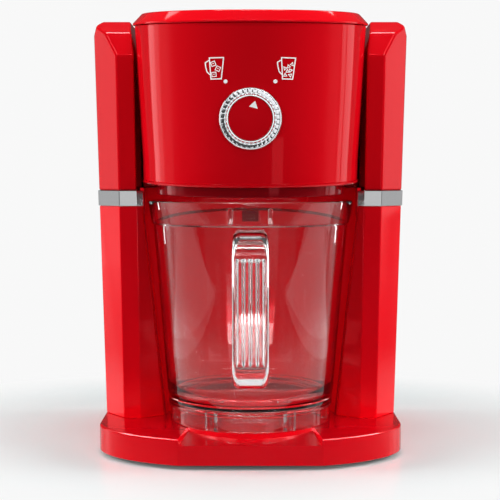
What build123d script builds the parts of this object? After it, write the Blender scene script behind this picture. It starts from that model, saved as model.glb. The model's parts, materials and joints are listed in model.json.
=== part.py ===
from build123d import *
import os
from math import atan2, cos, degrees, hypot, pi, radians, sin, sqrt, tan

os.makedirs("parts", exist_ok=True)

# Frozen drink maker: a red counter-top machine that shaves ice into a clear jug.
# Millimetres. +Z is up, the front faces -Y and +X is to the right of someone who stands in front of it.
# The origin is on the standing surface, under the middle of the whole machine.

# Walls and clearances
wall = 2.5
seat_gap = 0.3
close_gap = 0.1
running_gap = 0.05
press_gap = 0.02
reach = 600.0
past = 1.0
over = 20.0

# What the rest is counted from: the jug's axis, the feet and the height of the base
jug_axis_y = -15.0
foot_height = 3.0
base_height = 19.3
base_top = foot_height + base_height

# Jug. Its other radii are steps inward from the rim.
jug_lift = 0.2
jug_height = 165.5
jug_rim_radius = 77.4
jug_band_height = 17.7
jug_band_step = 2.7
jug_shoulder_step = 1.3
jug_taper = 10.3
jug_foot_step = 2.1
jug_ring_proud = 1.2
jug_wall = 2.6
jug_waist_height = 22.7
jug_skirt_height = 11.0
jug_floor_height = 15.0
jug_floor_thickness = 3.0
jug_floor_round = 14.0
jug_rim_round = 1.2
jug_ring_step = 1.0
jug_floor_steps = 3
jug_lug_count = 6
jug_lug_width = 8.0
jug_lug_depth = 5.0
pin_spread = 14.0
pin_width = 3.4
pin_height = 12.0
pin_proud = 1.6
pin_drop = 10.3
jug_bottom = base_top + jug_lift
jug_shoulder_height = jug_height - jug_band_height
jug_band_radius = jug_rim_radius - jug_band_step
jug_shoulder_radius = jug_band_radius - jug_shoulder_step
jug_waist_radius = jug_shoulder_radius - jug_taper
jug_foot_radius = jug_waist_radius - jug_foot_step
jug_ring_radius = jug_foot_radius + jug_ring_proud
pin_centre_height = jug_height - pin_drop

# Jug handle
handle_width = 24.8
handle_reach = 33.4
handle_thickness = 13.0
handle_low = 38.3
handle_drop = 1.1
handle_arm_height = 13.0
handle_outer_round = 14.0
handle_inner_round = 7.0
handle_edge_round = 1.5
handle_root = 10.0
handle_groove_width = 1.9
handle_groove_depth = 7.0
handle_groove_count = 5
handle_groove_end = 10.0
handle_front_y = jug_axis_y - jug_rim_radius - handle_reach
handle_high = jug_shoulder_height - handle_drop

# Head: the drum stands over the jug, and the seam of the lid over the drum. Both lean down towards the front.
head_gap = 13.7
head_spread = 3.9
head_low_tilt = 2.8
head_flare = 0.0446
head_edge = 1.5
drum_height = 116.6
seam_tilt = 5.5
rear_deck_rise = 6.7
rear_floor_drop = 4.1
deck_front = 45.0
head_low_height = jug_bottom + jug_height + head_gap
head_low_radius = jug_rim_radius + head_spread
seam_height = head_low_height + drum_height
rear_deck_height = seam_height + rear_deck_rise
rear_floor_height = head_low_height - rear_floor_drop
deck_front_y = jug_axis_y + deck_front

# Lid
lid_spread = 6.7
lid_lip = 1.3
lid_bevel = 7.0
lid_height = 8.9
lid_wall = 2.5
lid_rim_width = 4.0
lid_plug_step = 2.0
lid_plug_depth = 5.0
lid_seal_thickness = 2.0
lid_seal_height = 2.5
lid_radius = head_low_radius + lid_spread
lid_flat_radius = lid_radius - lid_bevel
lid_plug_radius = lid_flat_radius - lid_plug_step

# Lid hinge
hinge_offset = 11.0
hinge_rise = 4.0
hinge_barrel_radius = 4.5
hinge_pin_radius = 2.0
hinge_half_length = 33.0
hinge_lid_barrel_low = 12.0
hinge_lid_barrel_high = 24.0
hinge_reach = lid_radius + hinge_offset

# Collar under the drum
collar_step = 6.4
collar_depth = 8.6
collar_tilt = 1.8
collar_flange = 4.0
collar_radius = jug_rim_radius - collar_step
collar_low_height = head_low_height - collar_depth

# Jug bay
bay_foot_room = 3.4
bay_step_room = 3.6
bay_top_drop = 4.4
bay_step_drop = 27.7
bulkhead_step = 1.8
bulkhead_half_width = 46.0
bay_foot_radius = jug_waist_radius + bay_foot_room
bay_step_radius = jug_rim_radius + bay_step_room
bay_top = head_low_height - bay_top_drop
bay_step_height = head_low_height - bay_step_drop
bulkhead_radius = bay_step_radius - bulkhead_step

# Side towers: half widths where they stand on the base, and how much they grow per millimetre of height
tower_front_y = -22.0
tower_side_y = -1.0
tower_room = 2.2
tower_facet_width = 12.5
tower_side_width = 15.9
tower_inner_lean = 0.0137
tower_facet_lean = 0.0156
tower_outer_lean = 0.0262
tower_split = 2.5
tower_rise = 5.9
nose_slope = 0.631
band_drop = 18.2
band_height = 11.8
band_proud = 0.8
tower_inner_foot = head_low_radius + tower_room
tower_facet_foot = tower_inner_foot + tower_facet_width
tower_outer_foot = tower_facet_foot + tower_side_width
tower_split_x = bay_foot_radius - tower_split
tower_top = seam_height + tower_rise
band_low = head_low_height - band_drop
band_high = band_low + band_height

# Bevels along the towers' tops: each point is a step inward and a drop below the top
front_bevels = ((0.0, 27.9), (10.0, 10.7), (25.0, 0.0))
outer_bevels = ((0.3, 11.2), (2.7, 3.0), (6.8, 0.0))
inner_bevels = ((0.0, 24.2), (4.2, 0.0))
rear_bevels = ((0.0, 13.2), (9.0, 0.0))

# Hopper, shaver plate, blades and paddle
plate_rise = 32.8
plate_step = 9.0
plate_thickness = 1.5
plate_hole_radius = 7.0
slot_count = 4
slot_inset = 10.0
slot_length = 13.0
slot_width = 6.0
blade_thickness = 1.0
blade_width = 7.0
blade_overhang = 1.5
blade_bevel = 2.0
hopper_wall = 2.2
hopper_straight = 26.0
hopper_room = 0.8
hopper_drop = 7.0
hopper_rib_count = 6
hopper_rib_depth = 3.0
hopper_rib_width = 4.0
paddle_inset = 6.0
paddle_hub_radius = 13.0
paddle_low_gap = 1.5
paddle_height = 17.0
paddle_arm_thickness = 5.0
paddle_arm_count = 4
paddle_cap_height = 7.0
shaft_radius = 5.0
plate_height = head_low_height + plate_rise
plate_top = plate_height + plate_thickness
plate_radius = collar_radius - plate_step
slot_centre_radius = plate_radius - slot_inset
hopper_top_radius = head_low_radius - hopper_room
paddle_radius = plate_radius - paddle_inset

# Gearbox, hung under the shaver plate
case_drop = 25.0
case_wall = 2.0
case_room = 1.4
case_height = 16.5
cover_thickness = 2.0
bush_wall = 3.0
bush_length = 5.0
shaft_boss_depth = 3.5
pinion_case_radius = 18.0
case_post_radius = 3.0
case_low = plate_height - case_drop
case_high = case_low + case_height
case_top = case_high + cover_thickness
shaft_low = case_low - shaft_boss_depth + case_wall
bush_low = shaft_low

# Gear train: one plane of spur gears that spans the way from the paddle's axis to the motor's, behind the bay
motor_room = 31.5
driven_teeth = 64
idler_teeth = 50
pinion_teeth = 16
gear_rise = 4.5
gear_height = 8.0
gear_addendum = 0.9
gear_dedendum = 1.2
gear_backlash = 0.1
gear_web = 2.6
gear_rim = 2.5
gear_hub_wall = 5.0
pressure_angle = 20.0
idler_pin_radius = 3.0
front_post_share = 48.0
rear_post_share = 27.2
gear_low = case_low + gear_rise
gear_pitch = (bay_step_radius + motor_room) / (driven_teeth + 2 * idler_teeth + pinion_teeth)
gear_module = 2 * gear_pitch
idler_y = jug_axis_y + gear_pitch * (driven_teeth + idler_teeth)
motor_y = idler_y + gear_pitch * (idler_teeth + pinion_teeth)
front_post_x = gear_pitch * front_post_share
rear_post_x = gear_pitch * rear_post_share
arm_window = gear_pitch * (driven_teeth + idler_teeth) / 2 + gear_module + case_room + case_wall

# Motor
motor_radius = 20.0
motor_length = 82.0
motor_wall = 1.5
motor_shaft_radius = 2.5
armature_radius = 16.0
armature_length = 48.0
bracket_thickness = 3.0
bracket_half_width = 30.0
bracket_reach = 25.0
motor_boss_wall = 4.5
motor_shaft_room = 2.0
motor_back_room = 26.5
fan_radius = 18.0
fan_hub_radius = 6.0
fan_height = 7.0
fan_blade_count = 7
fan_gap = 3.0
motor_top = case_low - bracket_thickness
motor_low = motor_top - motor_length
back_y = motor_y + motor_back_room
tower_back_y = back_y - wall - seat_gap
bracket_front_y = motor_y - bracket_reach
bracket_back_y = tower_back_y - wall - seat_gap

# Base, its feet and its plate
foot_radius = 9.0
foot_inset = 20.0
foot_peg_radius = 3.0
foot_peg_height = 2.0
foot_edge = 1.0
base_step = 0.7
base_front_half_width = 51.3
base_reach = 77.0
base_side_depth = 57.0
base_plate_thickness = 2.2
base_edge = 1.0
rear_corner_width = 16.0
rear_corner_depth = 20.0
base_half_width = tower_outer_foot + base_step
base_front_y = jug_axis_y - base_reach
base_side_y = base_front_y + base_side_depth

# Channel at the front of the base, and the round pad that the jug stands on
channel_length = 34.6
channel_back_half_width = 45.4
channel_front_half_width = 50.0
channel_back_depth = 2.0
channel_front_depth = 4.8
pad_step = 0.5
channel_back_y = base_front_y + channel_length
pad_radius = jug_foot_radius - pad_step

# Back panel, vents, gland
panel_foot = 1.7
panel_drop = 16.2
panel_edge = 1.2
panel_corner_radius = 4.0
vent_count = 8
vent_half_width = 27.0
vent_height = 3.4
vent_pitch = 8.0
vent_drop = 6.5
vent_middle_bar = 6.0
low_screw_rise = 12.0
middle_screw_rise = 122.0
high_screw_drop = 16.0
panel_screw_inset = 7.0
gland_height = 40.0
gland_x = 45.0
gland_radius = 7.0
gland_bore_radius = 3.8
gland_flange = 3.0
gland_flange_thickness = 1.8
panel_low = base_top + panel_foot
panel_high = tower_top - panel_drop
vent_low = motor_low - vent_drop
panel_screw_heights = (panel_low + low_screw_rise, panel_low + middle_screw_rise,
                       panel_high - high_screw_drop)

# Fasteners
screw_radius = 1.6
screw_head_radius = 3.0
screw_head_height = 1.4
screw_length = 7.0

# Knob and its switch
knob_rise = 43.5
bezel_radius = 21.7
bezel_inner_radius = 18.6
bezel_front = 4.2
bezel_floor = 1.6
bezel_edge = 1.0
knob_radius = 17.6
knob_tip_radius = 16.2
knob_front = 17.5
knob_rim_height = 1.5
knob_rim_width = 0.6
knob_rest_angle = 15.0
knob_flute_count = 36
knob_flute_radius = 0.9
knob_face_radius = 14.8
knob_face_recess = 1.0
knob_face_thickness = 2.4
knob_face_edge = 0.4
knob_skirt_gap = 0.6
spindle_radius = 3.0
switch_bush_radius = 4.5
switch_bush_front = 4.0
switch_size = 16.0
switch_depth = 11.0
nut_across = 11.0
nut_height = 2.0
nut_room = 2.0
knob_height = head_low_height + knob_rise
head_lean = degrees(atan2(head_flare, 1))

# Push switches for the jug and the lid
jug_switch_drop = 1.8
jug_button_width = 14.0
jug_button_height = 5.0
jug_button_travel = 2.5
jug_button_gap = 0.8
jug_button_round = 1.0
push_switch_width = 20.0
push_switch_height = 10.0
push_switch_depth = 8.0
lid_switch_depth = 7.0
lid_button_radius = 2.0
lid_button_travel = 2.0
lid_button_gap = 0.57
lid_button_x = 18.0
lid_button_step = 3.0
jug_switch_height = jug_bottom + jug_shoulder_height - jug_switch_drop
lid_button_y = jug_axis_y + lid_radius + lid_button_step


# Small helpers

def rod(radius, low, high, x=0.0, y=0.0):
    """A round bar that stands on its end between two heights."""
    return Pos(x, y, low) * Cylinder(radius, high - low, align=(Align.CENTER, Align.CENTER, Align.MIN))


def tube(outer, inner, low, high, x=0.0, y=0.0):
    """A round tube that stands on its end."""
    return rod(outer, low, high, x, y) - rod(inner, low - past, high + past, x, y)


def block(x0, x1, y0, y1, z0, z1):
    """A box between two corners."""
    return Pos((x0 + x1) / 2, (y0 + y1) / 2, (z0 + z1) / 2) * Box(x1 - x0, y1 - y0, z1 - z0)


def turned(points, x=0.0, y=jug_axis_y):
    """A turned solid from an outline of (radius, height) points."""
    return Pos(x, y, 0) * revolve(Plane.XZ * Polygon(*points), Axis.Z)


def side_plate(points, half_width):
    """A plate from an outline of (y, z) points, spread evenly either side of the middle plane."""
    return extrude(Plane.YZ * Polygon(*points), half_width, both=True)


def beyond(origin, normal):
    """Everything on the far side of a plane, as one large block."""
    return Plane(origin=origin, z_dir=normal) * Box(
        reach, reach, reach, align=(Align.CENTER, Align.CENTER, Align.MIN))


def inset_outline(points, insets):
    """Move each side of an anticlockwise outline inward by its own amount."""
    lines = []
    for (x0, y0), (x1, y1) in zip(points, points[1:] + points[:1]):
        length = hypot(x1 - x0, y1 - y0)
        normal = ((y0 - y1) / length, (x1 - x0) / length)
        lines.append((normal[0], normal[1], normal[0] * x0 + normal[1] * y0))
    lines = [(a, b, c + inset) for (a, b, c), inset in zip(lines, insets)]
    corners = []
    for (a, b, c), (d, e, f) in zip(lines[-1:] + lines[:-1], lines):
        spread = a * e - d * b
        corners.append(((c * e - f * b) / spread, (a * f - d * c) / spread))
    return corners


def between(low_outline, low, high_outline, high):
    """A straight-sided solid between two outlines at two heights."""
    sections = [Pos(0, 0, low) * Polygon(*low_outline), Pos(0, 0, high) * Polygon(*high_outline)]
    return loft(sections, ruled=True)


def tilted_plane(height, tilt):
    """A plane that leans down towards the front and crosses the jug's axis at a height."""
    return Plane(origin=(0, jug_axis_y, height), x_dir=(1, 0, 0),
                 z_dir=(0, -sin(radians(tilt)), cos(radians(tilt))))


seam = tilted_plane(seam_height, seam_tilt)
head_floor = tilted_plane(head_low_height, head_low_tilt)
collar_foot = tilted_plane(collar_low_height, collar_tilt)


def shifted(plane, distance):
    """The same plane, moved along its own normal."""
    return plane.offset(distance)


def above(plane):
    return beyond(plane.origin, plane.z_dir)


def below(plane):
    return beyond(plane.origin, -plane.z_dir)


# Shapes that several pieces share

def tower_widths(height):
    """Half widths of a tower at a height: its inner edge, the front facet's outer edge, its side."""
    rise = height - base_top
    return (tower_inner_foot + tower_inner_lean * rise,
            tower_facet_foot + tower_facet_lean * rise,
            tower_outer_foot + tower_outer_lean * rise)


def tower_outline(height, inset, open_inside):
    """Plan outline of the right-hand tower. The lower tower is open towards the middle, behind its nose."""
    inner, facet, outer = tower_widths(height)
    points = [(inner, tower_front_y), (facet, tower_front_y), (outer, tower_side_y),
              (outer, back_y - rear_corner_depth), (outer - rear_corner_width, tower_back_y)]
    insets = [inset] * 4
    if open_inside:
        points += [(tower_split_x, tower_back_y),
                   (tower_split_x, tower_front_y + nose_slope * (inner - tower_split_x))]
        insets += [max(inset, 0.0), -over if inset > 0 else 0.0, inset]
    else:
        points += [(inner, tower_back_y)]
        insets += [inset, inset]
    return inset_outline(points, insets)


def tower_block(low, high, inset, open_inside):
    return between(tower_outline(low, inset, open_inside), low, tower_outline(high, inset, open_inside), high)


def bay_space(extra):
    """The room that the jug stands in, grown by an amount: a cone, then a straight top."""
    return turned([(0, base_top - past), (bay_foot_radius + extra, base_top - past),
                   (bay_foot_radius + extra, base_top), (bay_step_radius + extra, bay_step_height),
                   (bay_step_radius + extra, bay_top + past), (0, bay_top + past)])


def nose_front(back):
    """Everything in front of the right-hand tower's nose, moved back by an amount."""
    inner_low, inner_high = tower_widths(base_top)[0], tower_widths(band_high)[0]
    along = Vector(-1, nose_slope, 0)
    up = Vector(inner_high - inner_low, 0, band_high - base_top)
    normal = along.cross(up).normalized()
    start = Vector(inner_low, tower_front_y, base_top) + normal * back
    right_half = block(0, reach, -reach, reach, 0, reach)
    return beyond(start, normal * -1) & right_half


def drum_radius(height):
    return head_low_radius + head_flare * (height - head_low_height)


def drum_cone(inset, low, high):
    return turned([(0, low), (drum_radius(low) - inset, low), (drum_radius(high) - inset, high), (0, high)])


def rear_box(inset, low, high):
    """The part of the head behind the drum, between the two towers."""
    def outline(height):
        side = tower_widths(height)[0] - seat_gap * 2 - inset
        front = deck_front_y + inset
        back = tower_back_y - inset
        return [(-side, front), (side, front), (side, back), (-side, back)]
    return between(outline(low), low, outline(high), high)


def countersunk_screw(length=screw_length):
    """A screw with its head's top at zero, pointing down."""
    return rod(screw_head_radius, -screw_head_height, 0) + rod(screw_radius, -length, -screw_head_height)


def screw_hole(length=screw_length):
    return (rod(screw_head_radius + close_gap, -screw_head_height, past)
            + rod(screw_radius + close_gap, -length - past, 0))


def placed(shape, locations):
    """One copy of a shape at each place, kept as separate solids."""
    return Compound(children=[place * shape for place in locations])


# Base

def base_plan(inset):
    side_depth = (base_side_y - base_front_y) / sqrt(1 - (base_front_half_width / base_half_width) ** 2)
    curve = Pos(0, base_side_y) * Ellipse(base_half_width - inset, side_depth - inset)
    front_low = base_front_y + inset
    strip = Pos(0, (front_low + base_side_y) / 2) * Rectangle(2 * base_half_width, base_side_y - front_low)
    half = base_half_width
    rear_outline = [(-half, base_side_y), (half, base_side_y), (half, back_y - rear_corner_depth),
                    (half - rear_corner_width, back_y), (rear_corner_width - half, back_y),
                    (-half, back_y - rear_corner_depth)]
    rear = Polygon(*inset_outline(rear_outline, [0, inset, inset, inset, inset, inset]))
    return (curve & strip) + rear


def channel():
    """The shallow run-off in front of the jug, deeper towards the front edge."""
    run = channel_back_y - base_front_y
    drop = (channel_front_depth - channel_back_depth) / run
    floor = [(channel_back_y, base_top - channel_back_depth),
             (base_front_y - over, base_top - channel_front_depth - drop * over),
             (base_front_y - over, base_top + over), (channel_back_y, base_top + over)]
    flare = (channel_front_half_width - channel_back_half_width) / run * over
    plan = Polygon((-channel_back_half_width, channel_back_y),
                   (-channel_front_half_width - flare, base_front_y - over),
                   (channel_front_half_width + flare, base_front_y - over),
                   (channel_back_half_width, channel_back_y))
    prism = extrude(plan, base_top + 2 * over)
    pad = rod(pad_radius, 0, base_top + 2 * over, y=jug_axis_y)
    return (side_plate(floor, base_half_width) & prism) - pad


def feet_places():
    side = base_half_width - foot_inset
    places = [(sign * side, back_y - 2 * foot_inset) for sign in (-1, 1)]
    places += [(sign * base_front_half_width, base_front_y + foot_inset) for sign in (-1, 1)]
    return places


def base_screw_places():
    side = base_half_width - 2 * foot_inset
    return [(sign * side, y) for sign in (-1, 1) for y in (base_side_y, back_y - foot_inset)]


def base_shell():
    outer = Pos(0, 0, foot_height) * extrude(base_plan(0), base_height)
    top_edges = outer.edges().group_by(Axis.Z)[-1]
    outer = chamfer(top_edges, base_edge)
    deck_low = base_top - channel_front_depth - wall
    room = extrude(base_plan(wall), deck_low)
    shell = outer - room - channel()
    for x, y in base_screw_places():
        post_low = foot_height + base_plate_thickness
        shell += tube(screw_radius + wall, screw_radius + close_gap, post_low, deck_low + close_gap, x, y)
    return shell


def base_plate():
    plate = Pos(0, 0, foot_height) * extrude(base_plan(wall + seat_gap), base_plate_thickness)
    for x, y in base_screw_places():
        plate -= Pos(x, y, foot_height) * Rot(180, 0, 0) * screw_hole()
    for x, y in feet_places():
        plate -= rod(foot_peg_radius + close_gap, 0, base_top, x, y)
    return plate


def base_screws():
    places = [Pos(x, y, foot_height) for x, y in base_screw_places()]
    return placed(Rot(180, 0, 0) * countersunk_screw(), places)


def rubber_feet():
    foot = rod(foot_radius, 0, foot_height)
    foot = chamfer(foot.edges().group_by(Axis.Z)[0], foot_edge)
    foot += rod(foot_peg_radius, foot_height, foot_height + foot_peg_height)
    return placed(foot, [Pos(x, y, 0) for x, y in feet_places()])


# Side towers, chrome bands and bay wall

def tower_lower():
    """Right-hand lower cover: a skin that is open towards the middle and below."""
    skin = tower_block(base_top, band_low, 0, True)
    skin -= tower_block(base_top - past, band_low + past, wall, True)
    return skin - bay_space(0) - panel_screw_holes()


def bevel_cuts(inset):
    """The planes that cut the top of the right-hand tower into its facets."""
    outer_side = tower_widths(tower_top)[2]
    inner_side = tower_widths(tower_top)[0]
    cuts = []
    for (y0, drop0), (y1, drop1) in zip(front_bevels, front_bevels[1:]):
        cuts.append((Vector(0, tower_front_y + y0, tower_top - drop0), Vector(0, drop1 - drop0, y1 - y0)))
    for (x0, drop0), (x1, drop1) in zip(outer_bevels, outer_bevels[1:]):
        cuts.append((Vector(outer_side - x0, 0, tower_top - drop0), Vector(drop0 - drop1, 0, x1 - x0)))
    for (x0, drop0), (x1, drop1) in zip(inner_bevels, inner_bevels[1:]):
        cuts.append((Vector(inner_side + x0, 0, tower_top - drop0), Vector(drop1 - drop0, 0, x1 - x0)))
    bevels = [beyond(point - normal.normalized() * inset, normal) for point, normal in cuts]
    return bevels + [rear_bevel(inset)]


def rear_bevel(inset):
    """The sloping cut along the top of the machine's back."""
    (low_step, low_drop), (high_step, high_drop) = rear_bevels
    normal = Vector(0, low_drop - high_drop, high_step - low_step)
    start = Vector(0, tower_back_y - low_step, tower_top - low_drop)
    return beyond(start - normal.normalized() * inset, normal)


def tower_upper():
    """Right-hand upper cover: closed all round, open below."""
    outer = tower_block(band_high, tower_top, 0, False)
    room = tower_block(band_high - past, tower_top - wall, wall, False)
    for cut in bevel_cuts(0):
        outer -= cut
    for cut in bevel_cuts(wall):
        room -= cut
    return outer - room - panel_screw_holes()


def chrome_band():
    """Right-hand band between the two covers, standing a little proud of them."""
    proud = tower_block(band_low, band_high, -band_proud, True)
    room = tower_block(band_low - past, band_high + past, wall, True)
    return proud - room - bay_space(0)


def bay_liner():
    """The concave wall behind the jug, with the bulkhead across its top."""
    shell = bay_space(wall) - bay_space(0)
    bulkhead = rod(bay_step_radius + close_gap, bay_step_height, bay_top, y=jug_axis_y)
    bulkhead -= rod(bulkhead_radius, 0, reach, y=jug_axis_y)
    bulkhead &= block(-bulkhead_half_width, bulkhead_half_width, jug_axis_y, back_y, base_top, bay_top)
    shell += bulkhead
    shell &= block(-reach, reach, -reach, reach, base_top, bay_top)
    front = nose_front(wall + seat_gap)
    shell = shell - front - mirror(front, about=Plane.YZ)
    shell -= jug_button_shape(close_gap + seat_gap, reach)
    return shell


# Head

def head_shell():
    """The tapered drum, open on top, with a round hole in its floor for the collar."""
    drum = drum_cone(0, head_low_height - over, seam_height + over) - below(head_floor) - above(seam)
    low_rim = drum.edges().filter_by(lambda e: e.center().Z < head_low_height + wall).sort_by(Axis.Z)[0]
    drum = chamfer(low_rim, head_edge)
    drum -= drum_cone(wall, head_low_height - over, seam_height + over) - below(shifted(head_floor, wall))
    drum -= rod(collar_radius + close_gap, rear_floor_height - over, head_low_height + over, y=jug_axis_y)
    drum -= block(-arm_window, arm_window, jug_axis_y + plate_radius, bracket_front_y,
                  case_low - bracket_thickness, case_top + close_gap)
    return drum - knob_plane * rod(switch_bush_radius + close_gap, -3 * wall, wall)


def rear_housing():
    """The flat-topped housing behind the drum. It carries the motor, the hinge and the lid's switch."""
    shell = rear_box(0, rear_floor_height, rear_deck_height) - rear_bevel(0) - above(seam)
    shell -= rear_box(wall, rear_floor_height + wall, rear_deck_height - wall) - rear_bevel(wall)
    drum = drum_cone(-close_gap, head_low_height - over, seam_height + over)
    shell -= drum - below(shifted(head_floor, -close_gap))
    shell -= rod(collar_radius + close_gap, rear_floor_height - over, head_low_height + over, y=jug_axis_y)
    shell -= rod(motor_radius + past, rear_floor_height - past, rear_floor_height + wall + past, y=motor_y)
    for x, y in bracket_places():
        shell += tube(screw_radius + wall, screw_radius + close_gap, rear_floor_height + wall - close_gap,
                      motor_top, x, y)
    shell -= rod(lid_button_radius + running_gap * 2, rear_deck_height - 2 * wall, reach,
                 lid_button_x, lid_button_y)
    return shell + hinge_ears()


def hinge_barrel(radius, low, high):
    """A round bar along the hinge's axis, between two distances from the middle."""
    return hinge_place * Rot(0, 90, 0) * rod(radius, low, high)


def hinge_ears():
    """The housing's barrels and the posts that hold them up."""
    ears = None
    for low, high in ((-hinge_half_length, -hinge_lid_barrel_high - seat_gap),
                      (-hinge_lid_barrel_low + seat_gap, hinge_lid_barrel_low - seat_gap),
                      (hinge_lid_barrel_high + seat_gap, hinge_half_length)):
        post = block(low, high, hinge_y - hinge_barrel_radius, hinge_y + hinge_barrel_radius,
                     rear_deck_height - close_gap, hinge_z)
        ear = post + hinge_barrel(hinge_barrel_radius, low, high)
        ear -= hinge_barrel(hinge_pin_radius + press_gap, low - past, high + past)
        ears = ear if ears is None else ears + ear
    return ears


def lid_hinge_pin():
    return hinge_barrel(hinge_pin_radius, -hinge_half_length, hinge_half_length)


def lid():
    """The bevelled lid with its plug and its two hinge barrels, made flat and then laid on the seam."""
    outer = [(0, seat_gap), (lid_radius, seat_gap), (lid_radius, seat_gap + lid_lip),
             (lid_flat_radius, lid_height), (0, lid_height)]
    shape = turned(outer, y=0)
    room_top = lid_height - lid_wall
    shape -= turned([(0, 0), (lid_radius - lid_rim_width, 0), (lid_flat_radius - lid_rim_width, room_top),
                     (0, room_top)], y=0)
    shape += tube(lid_plug_radius, lid_plug_radius - lid_wall, -lid_plug_depth, room_top + close_gap)
    for side in (-1, 1):
        low, high = sorted((side * hinge_lid_barrel_low, side * hinge_lid_barrel_high))
        arm = block(low, high, lid_flat_radius, hinge_reach, lid_lip, hinge_rise + hinge_barrel_radius)
        arm += Pos(0, hinge_reach, hinge_rise) * Rot(0, 90, 0) * rod(hinge_barrel_radius, low, high)
        shape += arm
    bore = Pos(0, hinge_reach, hinge_rise) * Rot(0, 90, 0) * rod(
        hinge_pin_radius + running_gap, -hinge_lid_barrel_high - past, hinge_lid_barrel_high + past)
    return seam * (shape - bore)


def lid_seal():
    """A soft ring round the lid's plug."""
    return seam * tube(lid_plug_radius + lid_seal_thickness, lid_plug_radius + press_gap,
                       -lid_plug_depth, lid_seal_height - lid_plug_depth)


def chute_collar():
    """The dark ring under the head and the chute that narrows up to the shaver plate."""
    top = plate_height
    chute_top = plate_radius - wall
    shoulder = head_low_height + 2 * wall
    low = collar_low_height - over
    body = turned([(collar_radius, low), (collar_radius, shoulder), (chute_top + wall, top),
                   (chute_top, top), (collar_radius - wall, shoulder), (collar_radius - wall, low)])
    body -= below(collar_foot)
    flange = tube(collar_radius + collar_flange, collar_radius - close_gap, head_low_height - over,
                  head_low_height + over, y=jug_axis_y)
    flange = flange - below(shifted(head_floor, wall + close_gap)) - above(shifted(head_floor, 2 * wall))
    body += flange
    arm_low = case_low - shaft_boss_depth
    return body - block(-arm_window, arm_window, jug_axis_y, reach, arm_low, case_top + close_gap)


# Ice hopper, shaver plate, blades and paddle

def ice_hopper():
    """The cup that holds the ice cubes, open at its foot over the shaver plate."""
    inner = plate_radius - hopper_wall
    cone_low = plate_top + hopper_straight
    cone_high = cone_low + (hopper_top_radius - plate_radius)
    top = seam_height + over
    cup = turned([(inner, plate_top), (plate_radius, plate_top), (plate_radius, cone_low),
                  (hopper_top_radius, cone_high), (hopper_top_radius, top),
                  (hopper_top_radius - hopper_wall, top), (hopper_top_radius - hopper_wall, cone_high),
                  (inner, cone_low)])
    rim = shifted(seam, -hopper_drop)
    cup -= above(rim)
    lip = tube(hopper_lip_radius, hopper_top_radius - hopper_wall, cone_high, top, y=jug_axis_y)
    cup += lip - above(rim) - below(shifted(rim, -hopper_wall))
    for turn in range(hopper_rib_count):
        rib = block(inner - hopper_rib_depth, inner + close_gap, -hopper_rib_width / 2, hopper_rib_width / 2,
                    plate_top + paddle_height + 2 * paddle_low_gap, cone_low)
        cup += Pos(0, jug_axis_y, 0) * Rot(0, 0, (turn + 0.5) * 360 / hopper_rib_count) * rib
    return cup


def slot_places():
    return [Pos(0, jug_axis_y, 0) * Rot(0, 0, (turn + 0.5) * 360 / slot_count) for turn in range(slot_count)]


def shaver_plate():
    """The steel disc at the bottom of the hopper, with the slots that the shaved ice falls through."""
    plate = rod(plate_radius, plate_height, plate_top, y=jug_axis_y)
    plate -= rod(plate_hole_radius, plate_height - past, plate_top + past, y=jug_axis_y)
    slot = block(slot_centre_radius - slot_length / 2, slot_centre_radius + slot_length / 2,
                 -slot_width, 0, plate_height - past, plate_top + past)
    for place in slot_places():
        plate -= place * slot
    return plate


def shaving_blades():
    """Flat steel blades beside the slots, each with a ground edge that reaches over its slot."""
    edge = [(-blade_overhang, plate_top + blade_thickness), (blade_bevel - blade_overhang, plate_top),
            (blade_width, plate_top), (blade_width, plate_top + blade_thickness)]
    blade = Pos(slot_centre_radius, 0, 0) * extrude(Plane.YZ * Polygon(*edge), slot_length / 2, both=True)
    return placed(blade, slot_places())


def paddle():
    """Four swept arms on a domed hub, which push the ice over the blades."""
    low = plate_top + blade_thickness + paddle_low_gap
    high = low + paddle_height
    hub = turned([(0, low), (paddle_hub_radius, low), (paddle_hub_radius, high),
                  (paddle_hub_radius / 2, high + paddle_cap_height), (0, high + paddle_cap_height)])
    lean = paddle_arm_thickness
    arm = loft([Pos(0, 0, low) * Rectangle(paddle_radius, paddle_arm_thickness, align=(Align.MIN, Align.MIN)),
                Pos(0, lean, high) * Rectangle(paddle_radius, paddle_arm_thickness / 2,
                                               align=(Align.MIN, Align.MIN))], ruled=True)
    arms = None
    for turn in range(paddle_arm_count):
        placed_arm = Pos(0, jug_axis_y, 0) * Rot(0, 0, turn * 360 / paddle_arm_count) * arm
        arms = placed_arm if arms is None else arms + placed_arm
    arms &= rod(paddle_radius, low, high, y=jug_axis_y)
    return hub + arms - rod(shaft_radius + press_gap, low - past, high + press_gap, y=jug_axis_y)


def paddle_shaft():
    return rod(shaft_radius, shaft_low, plate_top + blade_thickness + paddle_low_gap + paddle_height,
               y=jug_axis_y)


# Gear train

def gear_outline(teeth, first_angle):
    """Involute teeth, each flank drawn with three points."""
    pitch_radius = gear_pitch * teeth
    base_radius = pitch_radius * cos(radians(pressure_angle))
    tip = pitch_radius + gear_addendum * gear_module
    root = pitch_radius - gear_dedendum * gear_module
    flank_foot = max(root, base_radius)

    def involute(radius):
        angle = sqrt(max((radius / base_radius) ** 2 - 1, 0))
        return angle - atan2(angle, 1)

    def half_tooth(radius):
        at_pitch = pi / (2 * teeth) - gear_backlash / (2 * pitch_radius)
        return at_pitch + involute(pitch_radius) - involute(max(radius, base_radius))

    radii = sorted({root, (flank_foot + tip) / 2, tip})
    points = []
    for tooth in range(teeth):
        centre = radians(first_angle) + 2 * pi * tooth / teeth
        sides = [(radius, centre - half_tooth(radius)) for radius in radii]
        sides += [(radius, centre + half_tooth(radius)) for radius in reversed(radii)]
        points += [(radius * cos(angle), radius * sin(angle)) for radius, angle in sides]
    return Polygon(*points)


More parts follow.
